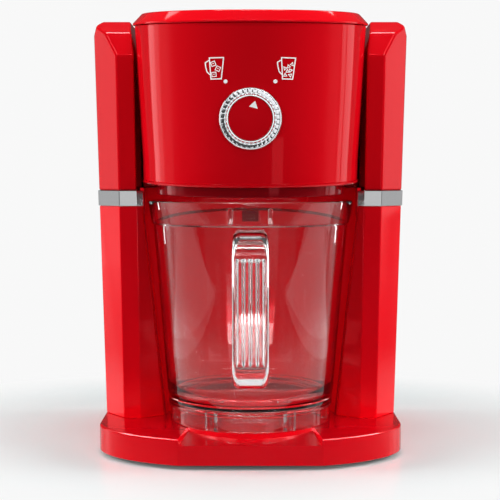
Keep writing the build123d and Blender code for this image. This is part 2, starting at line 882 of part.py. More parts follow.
def spur_gear(teeth, first_angle, bore, y):
    """A gear with a hub each side and a thinner web between hub and rim."""
    root = gear_pitch * teeth - gear_dedendum * gear_module
    hub = bore + gear_hub_wall
    gear = Pos(0, y, gear_low) * extrude(gear_outline(teeth, first_angle), gear_height)
    if root - gear_rim > hub + gear_rim:
        side = (gear_height - gear_web) / 2
        for low, high in ((-past, side), (side + gear_web, gear_height + past)):
            gear -= tube(root - gear_rim, hub, gear_low + low, gear_low + high, y=y)
    return gear - rod(bore, gear_low - past, gear_low + gear_height + past, y=y)


def driven_gear():
    return spur_gear(driven_teeth, 90, shaft_radius + press_gap, jug_axis_y)


def idler_gear():
    return spur_gear(idler_teeth, -90 + 180 / idler_teeth, idler_pin_radius + running_gap, idler_y)


def motor_pinion():
    return spur_gear(pinion_teeth, -90, motor_shaft_radius + press_gap, motor_y)


def idler_pin():
    return rod(idler_pin_radius, case_low + case_wall, case_high, y=idler_y)


# Gearbox

def case_plan(inset):
    """One smooth outline round the three gears."""
    room = case_room + case_wall - inset
    rounds = [(jug_axis_y, gear_pitch * driven_teeth + gear_module + room),
              (idler_y, gear_pitch * idler_teeth + gear_module + room),
              (motor_y, pinion_case_radius - inset)]
    edges = [edge for y, radius in rounds for edge in (Pos(0, y) * Circle(radius)).edges()]
    return make_hull(edges)


def case_screw_places():
    """Beside the two places where the gears mesh, there is room for a screw post on each side."""
    first_mesh = jug_axis_y + gear_pitch * driven_teeth
    second_mesh = idler_y + gear_pitch * idler_teeth
    places = ((front_post_x, first_mesh), (rear_post_x, second_mesh))
    return [(side * x, y) for side in (-1, 1) for x, y in places]


def gearbox_tray():
    """The lower half of the gearbox, with its screw posts and the boss for the paddle shaft's lower bush."""
    tray = Pos(0, 0, case_low) * extrude(case_plan(0), case_height)
    tray -= Pos(0, 0, case_low + case_wall) * extrude(case_plan(case_wall), case_height)
    boss_radius = shaft_radius + bush_wall + case_wall
    tray += rod(boss_radius, case_low - shaft_boss_depth, case_low + case_wall, y=jug_axis_y)
    tray -= rod(shaft_radius + bush_wall + press_gap, bush_low, reach, y=jug_axis_y)
    tray -= rod(motor_shaft_radius + motor_shaft_room, case_low - past, case_high, y=motor_y)
    for x, y in case_screw_places():
        tray += rod(case_post_radius, case_low, case_high, x, y)
        tray -= Pos(x, y, case_top) * screw_hole()
    return tray


def gearbox_cover():
    cover = Pos(0, 0, case_high) * extrude(case_plan(0), cover_thickness)
    cover += rod(shaft_radius + bush_wall + case_wall, case_high, case_top + bush_length - cover_thickness,
                 y=jug_axis_y)
    cover -= rod(shaft_radius + bush_wall + press_gap, case_high - past, reach, y=jug_axis_y)
    for x, y in case_screw_places():
        cover -= Pos(x, y, case_top) * screw_hole()
    return cover


def gearbox_screws():
    return placed(countersunk_screw(), [Pos(x, y, case_top) for x, y in case_screw_places()])


def shaft_bushes():
    """Two plain bearings for the paddle shaft, one in the tray and one in the cover."""
    outer, inner = shaft_radius + bush_wall, shaft_radius + running_gap
    return Compound(children=[tube(outer, inner, low, low + bush_length, y=jug_axis_y)
                              for low in (bush_low, case_high)])


# Motor

def motor_can():
    """The motor's steel can, with a hole at each end for its shaft."""
    can = rod(motor_radius, motor_low, motor_top, y=motor_y)
    can -= rod(motor_radius - motor_wall, motor_low + motor_wall, motor_top - motor_wall, y=motor_y)
    boss = rod(motor_shaft_radius + motor_boss_wall, motor_top, case_low - close_gap, y=motor_y)
    return can + boss - rod(motor_shaft_radius + running_gap, 0, reach, y=motor_y)


def motor_armature():
    middle = (motor_low + motor_top) / 2
    return tube(armature_radius, motor_shaft_radius + press_gap, middle - armature_length / 2,
                middle + armature_length / 2, y=motor_y)


def motor_shaft():
    return rod(motor_shaft_radius, motor_low - fan_gap - fan_height, gear_low + gear_height, y=motor_y)


def motor_fan():
    """A small radial fan under the motor."""
    high = motor_low - fan_gap
    low = high - fan_height
    fan = rod(fan_hub_radius, low, high, y=motor_y) + rod(fan_radius, low, low + motor_wall, y=motor_y)
    for turn in range(fan_blade_count):
        blade = block(fan_hub_radius - past, fan_radius, -motor_wall / 2, motor_wall / 2, low, high)
        fan += Pos(0, motor_y, 0) * Rot(0, 0, turn * 360 / fan_blade_count) * blade
    return fan - rod(motor_shaft_radius + press_gap, low - past, high + past, y=motor_y)


def bracket_places():
    inner = screw_head_radius + wall
    return [(side * (bracket_half_width - inner), y) for side in (-1, 1)
            for y in (bracket_front_y + inner, bracket_back_y - inner)]


def motor_bracket():
    """The plate that carries the motor and the back of the gearbox."""
    plate = block(-bracket_half_width, bracket_half_width, bracket_front_y, bracket_back_y,
                  motor_top, case_low)
    boss_hole = motor_shaft_radius + motor_boss_wall + close_gap
    plate -= rod(boss_hole, motor_top - past, case_low + past, y=motor_y)
    for x, y in bracket_places():
        plate -= Pos(x, y, case_low) * screw_hole()
    return plate


def bracket_screws():
    return placed(countersunk_screw(), [Pos(x, y, case_low) for x, y in bracket_places()])


# Back panel and what it carries

def panel_screw_places():
    places = []
    for height in panel_screw_heights:
        side = tower_widths(height)[2] - rear_corner_width - panel_screw_inset
        places += [(-side, height), (side, height)]
    return places


def panel_screw_holes():
    """Room for the panel's screws, through the panel and the walls behind it."""
    return placed(Rot(-90, 0, 0) * screw_hole(), [Pos(x, back_y, z) for x, z in panel_screw_places()])


def back_panel():
    """One flat panel across the whole back, with air slots beside the motor."""
    low_half = tower_widths(panel_low)[2] - rear_corner_width - panel_edge
    high_half = tower_widths(panel_high)[2] - rear_corner_width - panel_edge
    plan = Polygon((-low_half, panel_low), (low_half, panel_low), (high_half, panel_high),
                   (-high_half, panel_high))
    plan = fillet(plan.vertices(), panel_corner_radius)
    panel = Pos(0, back_y, 0) * extrude(Plane.XZ * plan, wall)
    for row in range(vent_count):
        low = vent_low + row * vent_pitch
        for side in (-1, 1):
            x0, x1 = sorted((side * vent_middle_bar / 2, side * (vent_middle_bar / 2 + vent_half_width)))
            panel -= block(x0, x1, tower_back_y - past, back_y + past, low, low + vent_height)
    panel -= panel_screw_holes()
    return panel - gland_place * rod(gland_radius + close_gap, -3 * wall, wall)


def panel_screws():
    return placed(Rot(-90, 0, 0) * countersunk_screw(), [Pos(x, back_y, z) for x, z in panel_screw_places()])


def cord_gland():
    """The rubber gland that a mains lead would pass through. It is empty."""
    gland = rod(gland_radius, -wall - gland_flange_thickness, 0)
    gland += rod(gland_radius + gland_flange, 0, gland_flange_thickness)
    gland += rod(gland_radius + gland_flange, -wall - gland_flange_thickness - seat_gap, -wall - seat_gap)
    return gland_place * (gland - rod(gland_bore_radius, -3 * wall, 3 * wall))


# Knob, made in a frame that points out of the drum

def knob_bezel():
    """The chrome ring round the knob, shaped behind to the curve of the drum."""
    ring = rod(bezel_radius, -2 * wall, bezel_front)
    ring = chamfer(ring.edges().group_by(Axis.Z)[-1], bezel_edge)
    ring -= rod(bezel_inner_radius, bezel_floor, bezel_front + past)
    ring -= rod(nut_across / 2 + nut_room, -3 * wall, bezel_front)
    return knob_plane * ring - drum_cone(-close_gap, head_low_height - over, seam_height + over)


def knob_outline(radius):
    """A circle with shallow grip notches all the way round."""
    points = []
    for notch in range(knob_flute_count):
        for part, depth in ((0.0, 0.0), (0.5, 0.0), (0.75, knob_flute_radius)):
            angle = 2 * pi * (notch + part) / knob_flute_count
            points.append(((radius - depth) * cos(angle), (radius - depth) * sin(angle)))
    return Polygon(*points)


def knob_body():
    """The chrome grip, notched round its side and recessed in front for the red face."""
    low = bezel_floor + knob_skirt_gap
    grip_high = knob_front - knob_rim_height
    shape = loft([Pos(0, 0, low) * knob_outline(knob_radius),
                  Pos(0, 0, grip_high) * knob_outline(knob_tip_radius)], ruled=True)
    rim = Cone(knob_tip_radius - knob_flute_radius, knob_face_radius + knob_rim_width, knob_rim_height,
               align=(Align.CENTER, Align.CENTER, Align.MIN))
    shape += Pos(0, 0, grip_high) * rim
    shape -= rod(knob_face_radius + close_gap, knob_front - knob_face_recess - knob_face_thickness, reach)
    shape -= rod(nut_across / 2 + nut_room, 0, switch_bush_front + past)
    shape -= rod(spindle_radius + press_gap, 0, knob_front - knob_face_recess - knob_face_thickness - wall)
    return knob_turned * shape


def knob_face():
    """The red disc in the middle of the knob."""
    low = knob_front - knob_face_recess - knob_face_thickness
    disc = rod(knob_face_radius, low, low + knob_face_thickness)
    return knob_turned * chamfer(disc.edges().group_by(Axis.Z)[-1], knob_face_edge)


def knob_spindle():
    high = knob_front - knob_face_recess - knob_face_thickness - wall
    return knob_turned * rod(spindle_radius, -wall - switch_depth / 2, high - press_gap)


def rotary_switch():
    """The switch behind the drum's wall, with the threaded bush that comes through it."""
    back = -wall - 2 * seat_gap
    half = switch_size / 2
    body = block(-half, half, -half, half, back - switch_depth, back)
    body += rod(switch_bush_radius, back - close_gap, switch_bush_front)
    return knob_plane * (body - rod(spindle_radius + running_gap, back - switch_depth + wall, reach))


def switch_nut():
    across = nut_across / 2 / cos(radians(30))
    nut = extrude(RegularPolygon(across, 6), nut_height)
    nut -= rod(switch_bush_radius + press_gap, -past, nut_height + past)
    return knob_plane * Pos(0, 0, close_gap) * nut


# Push switches

def jug_button_shape(grow, back):
    """The button's stem where it passes through the bay wall."""
    half = jug_button_width / 2 + grow
    tall = jug_button_height / 2 + grow
    end = min(jug_wall_back_y + close_gap + back, back_y - 2 * wall)
    return block(-half, half, jug_button_front - grow, end,
                 jug_switch_height - tall, jug_switch_height + tall)


def jug_button():
    half, tall = jug_button_width / 2, jug_button_height / 2
    button = block(-half, half, jug_button_front, jug_wall_back_y + seat_gap + wall,
                   jug_switch_height - tall, jug_switch_height + tall)
    return chamfer(button.edges().group_by(Axis.Y)[0], jug_button_round)


def jug_switch():
    """The switch behind the bay wall, with a pocket for the button to move into."""
    low_y = jug_wall_back_y + seat_gap
    half, tall = push_switch_width / 2, push_switch_height / 2
    body = block(-half, half, low_y, low_y + push_switch_depth, jug_switch_height - tall,
                 jug_switch_height + tall)
    gap = 2 * close_gap
    pocket = block(-jug_button_width / 2 - gap, jug_button_width / 2 + gap, low_y - past,
                   low_y + wall + jug_button_travel + seat_gap,
                   jug_switch_height - jug_button_height / 2 - gap,
                   jug_switch_height + jug_button_height / 2 + gap)
    return body - pocket


def lid_button():
    low = rear_deck_height - wall - seat_gap - wall
    arm_rise = (lid_button_y - jug_axis_y) * tan(radians(seam_tilt)) + lid_lip / cos(radians(seam_tilt))
    return rod(lid_button_radius, low, seam_height + arm_rise - lid_button_gap, lid_button_x, lid_button_y)


def lid_switch():
    """The switch under the deck, with a pocket for the button to move into."""
    high = rear_deck_height - wall - close_gap
    half, deep = push_switch_width / 2, lid_switch_depth / 2
    body = block(lid_button_x - half, lid_button_x + half, lid_button_y - deep, lid_button_y + deep,
                 high - push_switch_height, high)
    pocket_low = high - wall - lid_button_travel - 2 * seat_gap
    return body - rod(lid_button_radius + 2 * close_gap, pocket_low, high + past, lid_button_x, lid_button_y)


# Jug and handle

def jug_outline_radius(height):
    """Outer radius of the jug's tapered wall at a height above its foot."""
    share = (height - jug_waist_height) / (jug_shoulder_height - jug_waist_height)
    return jug_waist_radius + share * (jug_shoulder_radius - jug_waist_radius)


def jug():
    """The clear jug: a tapered wall, a thicker band at the rim, two rings and a hollow foot skirt."""
    z0 = jug_bottom
    ring_low = z0 + jug_skirt_height + jug_ring_step
    floor_high = z0 + jug_floor_height + jug_floor_thickness
    inner_low = jug_outline_radius(jug_floor_height + jug_floor_thickness) - jug_wall
    inner_turn = jug_outline_radius(jug_floor_height + jug_floor_thickness + jug_floor_round) - jug_wall
    rim_inner = jug_rim_radius - jug_wall
    outline = [(jug_foot_radius - jug_wall, z0), (jug_foot_radius, z0),
               (jug_foot_radius, z0 + jug_skirt_height), (jug_ring_radius, ring_low),
               (jug_ring_radius, ring_low + jug_ring_step), (jug_foot_radius, ring_low + 2 * jug_ring_step),
               (jug_ring_radius, ring_low + 3 * jug_ring_step),
               (jug_ring_radius, ring_low + 4 * jug_ring_step),
               (jug_waist_radius, z0 + jug_waist_height), (jug_shoulder_radius, z0 + jug_shoulder_height),
               (jug_band_radius, z0 + jug_shoulder_height + jug_ring_step),
               (jug_rim_radius, z0 + jug_height - jug_rim_round),
               (jug_rim_radius - jug_rim_round / 2, z0 + jug_height), (rim_inner, z0 + jug_height),
               (jug_shoulder_radius - jug_wall, z0 + jug_shoulder_height),
               (inner_turn, floor_high + jug_floor_round)]
    for step in range(1, jug_floor_steps + 1):
        angle = pi / 2 * step / jug_floor_steps
        radius = inner_low - jug_floor_round + jug_floor_round * cos(angle)
        outline.append((radius, floor_high + jug_floor_round * (1 - sin(angle))))
    outline += [(0, floor_high), (0, floor_high - jug_floor_thickness),
                (jug_foot_radius - jug_wall, floor_high - jug_floor_thickness)]
    shape = turned(outline)
    skirt_inside = jug_foot_radius - jug_wall
    lug = block(-jug_lug_width / 2, jug_lug_width / 2, -skirt_inside - close_gap,
                jug_lug_depth - skirt_inside, z0, z0 + jug_floor_height + close_gap)
    for turn in range(jug_lug_count):
        shape += Pos(0, jug_axis_y, 0) * Rot(0, 0, (turn + 0.5) * 360 / jug_lug_count) * lug
    ring_wall = turned([(jug_shoulder_radius - jug_wall, z0 + jug_shoulder_height),
                        (jug_rim_radius + pin_proud, z0 + jug_shoulder_height),
                        (jug_rim_radius + pin_proud, z0 + jug_height), (rim_inner, z0 + jug_height)])
    slot = Plane.XZ * Rot(0, 0, 90) * SlotOverall(pin_height, pin_width)
    for side in (-1, 1):
        pin = extrude(slot, jug_rim_radius + over)
        shape += Pos(side * pin_spread, jug_axis_y, z0 + pin_centre_height) * pin & ring_wall
    return shape


def jug_handle():
    """The ribbed handle, which faces the front."""
    low, high = jug_bottom + handle_low, jug_bottom + handle_high
    back = jug_axis_y - jug_waist_radius + handle_root
    outer = Polygon((handle_front_y, low), (back, low), (back, high), (handle_front_y, high))
    outer = fillet(outer.vertices().group_by(Axis.X)[0], handle_outer_round)
    grip_back = handle_front_y + handle_thickness
    inner = Polygon((grip_back, low + handle_arm_height), (back + past, low + handle_arm_height),
                    (back + past, high - handle_arm_height), (grip_back, high - handle_arm_height))
    inner = fillet(inner.vertices().group_by(Axis.X)[0], handle_inner_round)
    grip = extrude(Plane.YZ * (outer - inner), handle_width / 2, both=True)
    front_face = grip.faces().sort_by(Axis.Y)[0]
    grip = chamfer(front_face.edges().filter_by(Axis.Z), handle_edge_round)
    spacing = handle_width / (handle_groove_count + 1)
    for row in range(handle_groove_count):
        x = -handle_width / 2 + spacing * (row + 1)
        grip -= block(x - handle_groove_width / 2, x + handle_groove_width / 2, handle_front_y - past,
                      handle_front_y + handle_groove_depth, low + handle_groove_end, high - handle_groove_end)
    body = turned([(0, jug_bottom), (jug_outline_radius(0) + close_gap, jug_bottom),
                   (jug_outline_radius(jug_shoulder_height) + close_gap, jug_bottom + jug_shoulder_height),
                   (0, jug_bottom + jug_shoulder_height)])
    return grip - body


# Places that need the shapes above
hopper_lip_height = seam_height - lid_radius * tan(radians(seam_tilt)) - hopper_drop - hopper_wall
hopper_lip_radius = drum_radius(hopper_lip_height) - wall - seat_gap
hinge_place = seam * Pos(0, hinge_reach, hinge_rise)
hinge_y = hinge_place.position.Y
hinge_z = hinge_place.position.Z
knob_plane = Plane(origin=(0, jug_axis_y - drum_radius(knob_height), knob_height), x_dir=(1, 0, 0),
                   z_dir=(0, -cos(radians(head_lean)), -sin(radians(head_lean))))
knob_turned = knob_plane * Rot(0, 0, -knob_rest_angle)
gland_place = Pos(gland_x, back_y, gland_height) * Rot(-90, 0, 0)
jug_button_front = jug_axis_y + jug_outline_radius(jug_shoulder_height) + jug_button_gap
jug_wall_back_y = jug_axis_y + wall + bay_foot_radius + (bay_step_radius - bay_foot_radius) * (
    jug_switch_height + jug_button_height / 2 - base_top) / (bay_step_height - base_top)


def left(shape):
    return mirror(shape, about=Plane.YZ)


nodes = {
    "base_shell": base_shell, "base_plate": base_plate, "base_screws": base_screws,
    "rubber_feet": rubber_feet,
    "right_tower_lower": tower_lower, "left_tower_lower": lambda: left(tower_lower()),
    "right_tower_upper": tower_upper, "left_tower_upper": lambda: left(tower_upper()),
    "right_chrome_band": chrome_band, "left_chrome_band": lambda: left(chrome_band()),
    "bay_liner": bay_liner, "head_shell": head_shell, "rear_housing": rear_housing,
    "chute_collar": chute_collar,
    "lid": lid, "lid_seal": lid_seal, "lid_hinge_pin": lid_hinge_pin,
    "ice_hopper": ice_hopper, "shaver_plate": shaver_plate, "shaving_blades": shaving_blades,
    "paddle": paddle, "paddle_shaft": paddle_shaft, "driven_gear": driven_gear,
    "idler_gear": idler_gear, "idler_pin": idler_pin, "motor_pinion": motor_pinion,
    "gearbox_tray": gearbox_tray, "gearbox_cover": gearbox_cover, "gearbox_screws": gearbox_screws,
    "shaft_bushes": shaft_bushes,
    "motor_can": motor_can, "motor_armature": motor_armature, "motor_shaft": motor_shaft,
    "motor_fan": motor_fan, "motor_bracket": motor_bracket, "bracket_screws": bracket_screws,
    "back_panel": back_panel, "panel_screws": panel_screws, "cord_gland": cord_gland,
    "knob_bezel": knob_bezel, "knob_body": knob_body, "knob_face": knob_face, "knob_spindle": knob_spindle,
    "rotary_switch": rotary_switch, "switch_nut": switch_nut,
    "jug_button": jug_button, "jug_switch": jug_switch, "lid_button": lid_button, "lid_switch": lid_switch,
    "jug": jug, "jug_handle": jug_handle,
}

for name, make in nodes.items():
    export_step(make(), f"parts/{name}.step")
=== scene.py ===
import bmesh
import bpy
import json
from math import asin, atan, atan2, cos, hypot, pi, radians, sin, sqrt, tan
from mathutils import Matrix, Vector


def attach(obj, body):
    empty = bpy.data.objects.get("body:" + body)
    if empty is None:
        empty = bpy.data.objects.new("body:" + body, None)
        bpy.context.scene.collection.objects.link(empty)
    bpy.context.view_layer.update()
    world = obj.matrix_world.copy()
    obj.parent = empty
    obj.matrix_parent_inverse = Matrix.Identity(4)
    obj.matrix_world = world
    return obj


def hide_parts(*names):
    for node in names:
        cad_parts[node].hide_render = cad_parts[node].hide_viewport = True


# A red frozen drink maker with a clear jug. Shapes are worked out in millimetres and stored in metres.
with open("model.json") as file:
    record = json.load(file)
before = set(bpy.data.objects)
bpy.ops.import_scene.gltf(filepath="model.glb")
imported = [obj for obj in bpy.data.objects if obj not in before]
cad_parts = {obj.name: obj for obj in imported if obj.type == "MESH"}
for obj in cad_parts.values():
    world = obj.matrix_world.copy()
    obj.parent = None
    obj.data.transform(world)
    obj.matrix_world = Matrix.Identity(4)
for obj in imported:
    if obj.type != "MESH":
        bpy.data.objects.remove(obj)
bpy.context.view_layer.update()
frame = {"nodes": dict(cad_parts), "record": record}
MM = 0.001

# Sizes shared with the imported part, in millimetres
AXIS_Y = -15.0
BASE_LOW, BASE_TOP = 3.0, 22.3
BASE_HALF, BASE_FRONT_HALF = 112.6, 51.3
BASE_FRONT_Y, BASE_SIDE_Y, BACK_Y = -92.0, -35.0, 124.0
REAR_CORNER_WIDTH, REAR_CORNER_DEPTH = 16.0, 20.0
BASE_EDGE = 1.6
CHANNEL_BACK_Y, CHANNEL_BACK_HALF, CHANNEL_FRONT_HALF = -57.4, 45.4, 50.0
CHANNEL_BACK_DEPTH, CHANNEL_FRONT_DEPTH = 2.0, 4.8
PAD_RADIUS = 60.5
WALL, GAP = 2.5, 0.3
TOWER_FRONT_Y, TOWER_SIDE_Y = -22.0, -1.0
TOWER_BACK_Y = BACK_Y - WALL - GAP
TOWER_INNER = (83.5, 0.0137)
TOWER_FACET = (96.0, 0.0156)
TOWER_OUTER = (111.9, 0.0262)
NOSE_SLOPE = 0.631
BAND_LOW, BAND_HIGH, BAND_PROUD = 183.5, 195.3, 0.8
TOWER_TOP = 324.2
FRONT_BEVELS = ((0.0, 296.3), (10.0, 313.5), (25.0, 324.2))
OUTER_BEVELS = ((0.3, 313.0), (2.7, 321.2), (6.8, 324.2))
INNER_BEVELS = ((0.0, 300.0), (4.2, 324.2))
REAR_BEVEL = ((0.0, 311.0), (9.0, 324.2))
BAY_FOOT, BAY_STEP, BAY_STEP_Z, BAY_TOP = 66.5, 81.0, 174.0, 197.3
BULKHEAD_RADIUS, BULKHEAD_HALF = 79.2, 46.0
HEAD_LOW_RADIUS, HEAD_LOW_Z, HEAD_LOW_TILT, HEAD_FLARE = 81.3, 201.7, 2.8, 0.0446
SEAM_Z, SEAM_TILT = 318.3, 5.5
DECK_Z, DECK_LOW_Z, DECK_FRONT_Y = 325.0, 197.6, 30.0
COLLAR_RADIUS, COLLAR_LOW_Z, COLLAR_TILT = 71.0, 193.1, 1.8
LID_RADIUS, LID_FLAT, LID_LIP, LID_HEIGHT = 88.0, 81.0, 1.3, 8.9
LID_PLUG, LID_PLUG_DEPTH, LID_RIM_WIDTH = 79.0, 5.0, 4.0
HINGE_REACH, HINGE_RISE, HINGE_BARREL = 99.0, 4.0, 4.5
HINGE_HALF, HINGE_LID_LOW, HINGE_LID_HIGH = 33.0, 12.0, 24.0
PLATE_RADIUS, PLATE_Z = 62.0, 234.5
KNOB_Z, KNOB_REST_ANGLE = 245.2, 15.0
BEZEL_RADIUS, BEZEL_INNER, BEZEL_FRONT, BEZEL_FLOOR = 21.3, 18.6, 4.2, 1.6
KNOB_RADIUS, KNOB_TIP, KNOB_FRONT, KNOB_FLUTES = 17.6, 16.2, 17.5, 36
KNOB_FACE_RADIUS, KNOB_RECESS, KNOB_FACE_THICKNESS = 14.8, 1.0, 2.4
JUG_LOW = BASE_TOP + 0.2
JUG_FOOT, JUG_RING, JUG_SKIRT = 61.0, 62.2, 11.0
JUG_WAIST, JUG_WAIST_H, JUG_SHOULDER, JUG_SHOULDER_H = 63.1, 22.7, 73.4, 147.8
JUG_BAND, JUG_RIM, JUG_HEIGHT, JUG_WALL = 74.7, 77.4, 165.5, 2.6
JUG_FLOOR_H, JUG_FLOOR_THICKNESS, JUG_FLOOR_ROUND = 15.0, 3.0, 14.0
JUG_LUGS, JUG_LUG_WIDTH, JUG_LUG_DEPTH = 6, 8.0, 5.0
PIN_SPREAD, PIN_WIDTH, PIN_HEIGHT, PIN_PROUD, PIN_CENTRE_H = 14.0, 3.4, 12.0, 1.6, 155.2
HANDLE_WIDTH, HANDLE_FRONT_Y, HANDLE_THICK = 24.8, -125.8, 13.0
HANDLE_LOW_H, HANDLE_HIGH_H, HANDLE_BEND = 38.3, 146.7, 5.0
HANDLE_RAIL, HANDLE_RIBS, HANDLE_RIB_DEPTH, HANDLE_RIB_RISE = 3.0, 4, 5.0, 3.0
HANDLE_CORNER, HANDLE_END_CORNER = 1.8, 6.0
HEAD_LEAN = atan(HEAD_FLARE)

# Details of the scene alone: lengths in millimetres, angles in radians
FIT, SEAM_GAP = 0.2, 0.05
SKIN_SWEEP, RETURN_SWEEP, LINER_START = 0.036, 0.64, 0.004
TAPERED_FROM, SECOND_PLANE = 75.0, 1000.0
CHANNEL_CHAMFER, PAD_FLARE, KNOB_HOLE = 0.9, 1.2, 8.0
PRINT_LIFT, PRINT_SINK = 0.07, 0.05
ICON_LINE, ICON_FINE = 0.75, 0.5
WHITE_BACKDROP = 0.94


# Camera, set from the photograph: straight on, a little above the drum's foot, looking slightly down

def make_camera():
    data = bpy.data.cameras.new("camera")
    data.lens = 82.44
    data.sensor_width = 36.0
    data.clip_start = 0.01
    camera = bpy.data.objects.new("camera", data)
    camera.location = (-0.0003, -0.884, 0.2055)
    camera.rotation_euler = (radians(90 - 3.65), 0, 0)
    bpy.context.collection.objects.link(camera)
    bpy.context.scene.camera = camera


# Node helpers

def new_material(name):
    material = bpy.data.materials.new(name)
    material.use_nodes = True
    tree = material.node_tree
    return material, tree, tree.nodes["Principled BSDF"]


def set_inputs(node, values):
    """Write constants on a node's own sockets."""
    for socket, value in dict(values).items():
        node.inputs[socket].default_value = value


def new_node(tree, kind, links=(), values=(), **settings):
    """A shader node with its settings, with sources linked to its sockets and constants on the others."""
    node = tree.nodes.new("ShaderNode" + kind)
    for name, setting in settings.items():
        setattr(node, name, setting)
    for socket, source in dict(links).items():
        tree.links.new(source, node.inputs[socket])
    set_inputs(node, values)
    return node


def object_noise(tree, scale, detail=2.0, stretch=(1, 1, 1)):
    """Noise in the object's own coordinates, so that it stays with the piece when it moves."""
    coordinates = new_node(tree, "TexCoord")
    mapping = new_node(tree, "Mapping", {"Vector": coordinates.outputs["Object"]}, {"Scale": stretch})
    values = {"Scale": scale, "Detail": detail}
    return new_node(tree, "TexNoise", {"Vector": mapping.outputs["Vector"]}, values).outputs["Fac"]


def ranged(tree, value, low, high, start=0.0, end=1.0, course="LINEAR"):
    """The value, spread between two limits while it runs from its start to its end."""
    limits = {"From Min": start, "From Max": end, "To Min": low, "To Max": high}
    return new_node(tree, "MapRange", {"Value": value}, limits, interpolation_type=course).outputs["Result"]


def coloured(tree, shader, value, first, second):
    """Base colour that follows the value from one colour to the other."""
    ramp = new_node(tree, "ValToRGB", {"Fac": value})
    for element, position, colour in zip(ramp.color_ramp.elements, (0.3, 0.7), (first, second)):
        element.position = position
        element.color = (*colour, 1)
    tree.links.new(ramp.outputs["Color"], shader.inputs["Base Color"])


def roughened(tree, shader, value, low, high):
    """Roughness that follows the value between two limits."""
    tree.links.new(ranged(tree, value, low, high), shader.inputs["Roughness"])


def bumped(tree, shader, value, distance, strength, target="Normal"):
    """Fine relief that follows the value."""
    bump = new_node(tree, "Bump", {"Height": value}, {"Distance": distance, "Strength": strength})
    tree.links.new(bump.outputs["Normal"], shader.inputs[target])


def combined(tree, operation, first, second):
    """Two values combined, such as their product."""
    return new_node(tree, "Math", {0: first, 1: second}, operation=operation).outputs["Value"]


def camera_apart(tree, path, value, for_camera):
    """The value for all rays but the camera's own, which get a fixed one."""
    links = {"Factor": path.outputs["Is Camera Ray"], "A": value}
    return new_node(tree, "Mix", links, {"B": for_camera}, data_type="FLOAT").outputs["Result"]


def mixed(tree, factor, first, second):
    """Make a mix of two shaders the material's surface."""
    mix = new_node(tree, "MixShader", {"Fac": factor, 1: first, 2: second})
    tree.links.new(mix.outputs["Shader"], tree.nodes["Material Output"].inputs["Surface"])


# Materials

def gloss_red(name, light, dark):
    """Polished red plastic with faint mottling, fine wipe marks and a trace of orange peel."""
    material, tree, shader = new_material(name)
    coloured(tree, shader, object_noise(tree, 9.0), dark, light)
    roughened(tree, shader, object_noise(tree, 60.0, 4.0, (1, 1, 0.15)), 0.05, 0.12)
    set_inputs(shader, {"IOR": 1.5, "Specular IOR Level": 0.9, "Specular Tint": (1.0, 0.03, 0.05, 1),
                        "Coat Weight": 0.16, "Coat Roughness": 0.02, "Coat IOR": 1.5})
    bumped(tree, shader, object_noise(tree, 420.0), 0.00001, 0.5, "Coat Normal")
    return material


def chrome(name, tint, roughness, brushed=0.0):
    """Plated metal. Brushed plating has fine lines along its length, as deep as the given distance."""
    material, tree, shader = new_material(name)
    shader.inputs["Metallic"].default_value = 1.0
    grain = object_noise(tree, 350.0, 3.0, (1, 1, 25)) if brushed else object_noise(tree, 40.0, 3.0)
    coloured(tree, shader, grain, tint, tuple(min(1.0, part * 1.06) for part in tint))
    roughened(tree, shader, grain, roughness * 0.7, roughness * 1.3)
    if brushed:
        bumped(tree, shader, grain, brushed, 0.4)
    return material


def clear_plastic(name):
    """Clear moulded plastic with faint flow waves. Its shadow lets light through, as clear plastic does."""
    material, tree, shader = new_material(name)
    set_inputs(shader, {"Base Color": (0.985, 0.99, 0.99, 1), "Transmission Weight": 1.0, "IOR": 1.5})
    roughened(tree, shader, object_noise(tree, 30.0, 3.0), 0.0, 0.03)
    bumped(tree, shader, object_noise(tree, 35.0, 2.0, (1, 1, 0.4)), 0.00012, 0.35)
    path = new_node(tree, "LightPath")
    see_through = new_node(tree, "BsdfTransparent", values={"Color": (0.98, 0.98, 0.98, 1)})
    either = combined(tree, "MAXIMUM", path.outputs["Is Shadow Ray"], path.outputs["Is Diffuse Ray"])
    mixed(tree, either, shader.outputs["BSDF"], see_through.outputs["BSDF"])
    return material


def plain_plastic(name, light, dark, roughness, grain=500.0, depth=0.00003):
    """Plastic with a fine moulded texture."""
    material, tree, shader = new_material(name)
    coloured(tree, shader, object_noise(tree, 25.0), dark, light)
    fine = object_noise(tree, grain, 3.0)
    roughened(tree, shader, fine, roughness - 0.06, roughness + 0.06)
    bumped(tree, shader, fine, depth, 0.6)
    return material


def metal(name, light, dark, roughness, stretch=(1, 1, 12)):
    """Bare metal, drawn or turned, with a grain that is finer along its third axis where stretched."""
    material, tree, shader = new_material(name)
    shader.inputs["Metallic"].default_value = 1.0
    grain = object_noise(tree, 250.0, 3.0, stretch)
    coloured(tree, shader, grain, dark, light)
    roughened(tree, shader, grain, roughness - 0.05, roughness + 0.08)
    bumped(tree, shader, grain, 0.00002, 0.4)
    return material


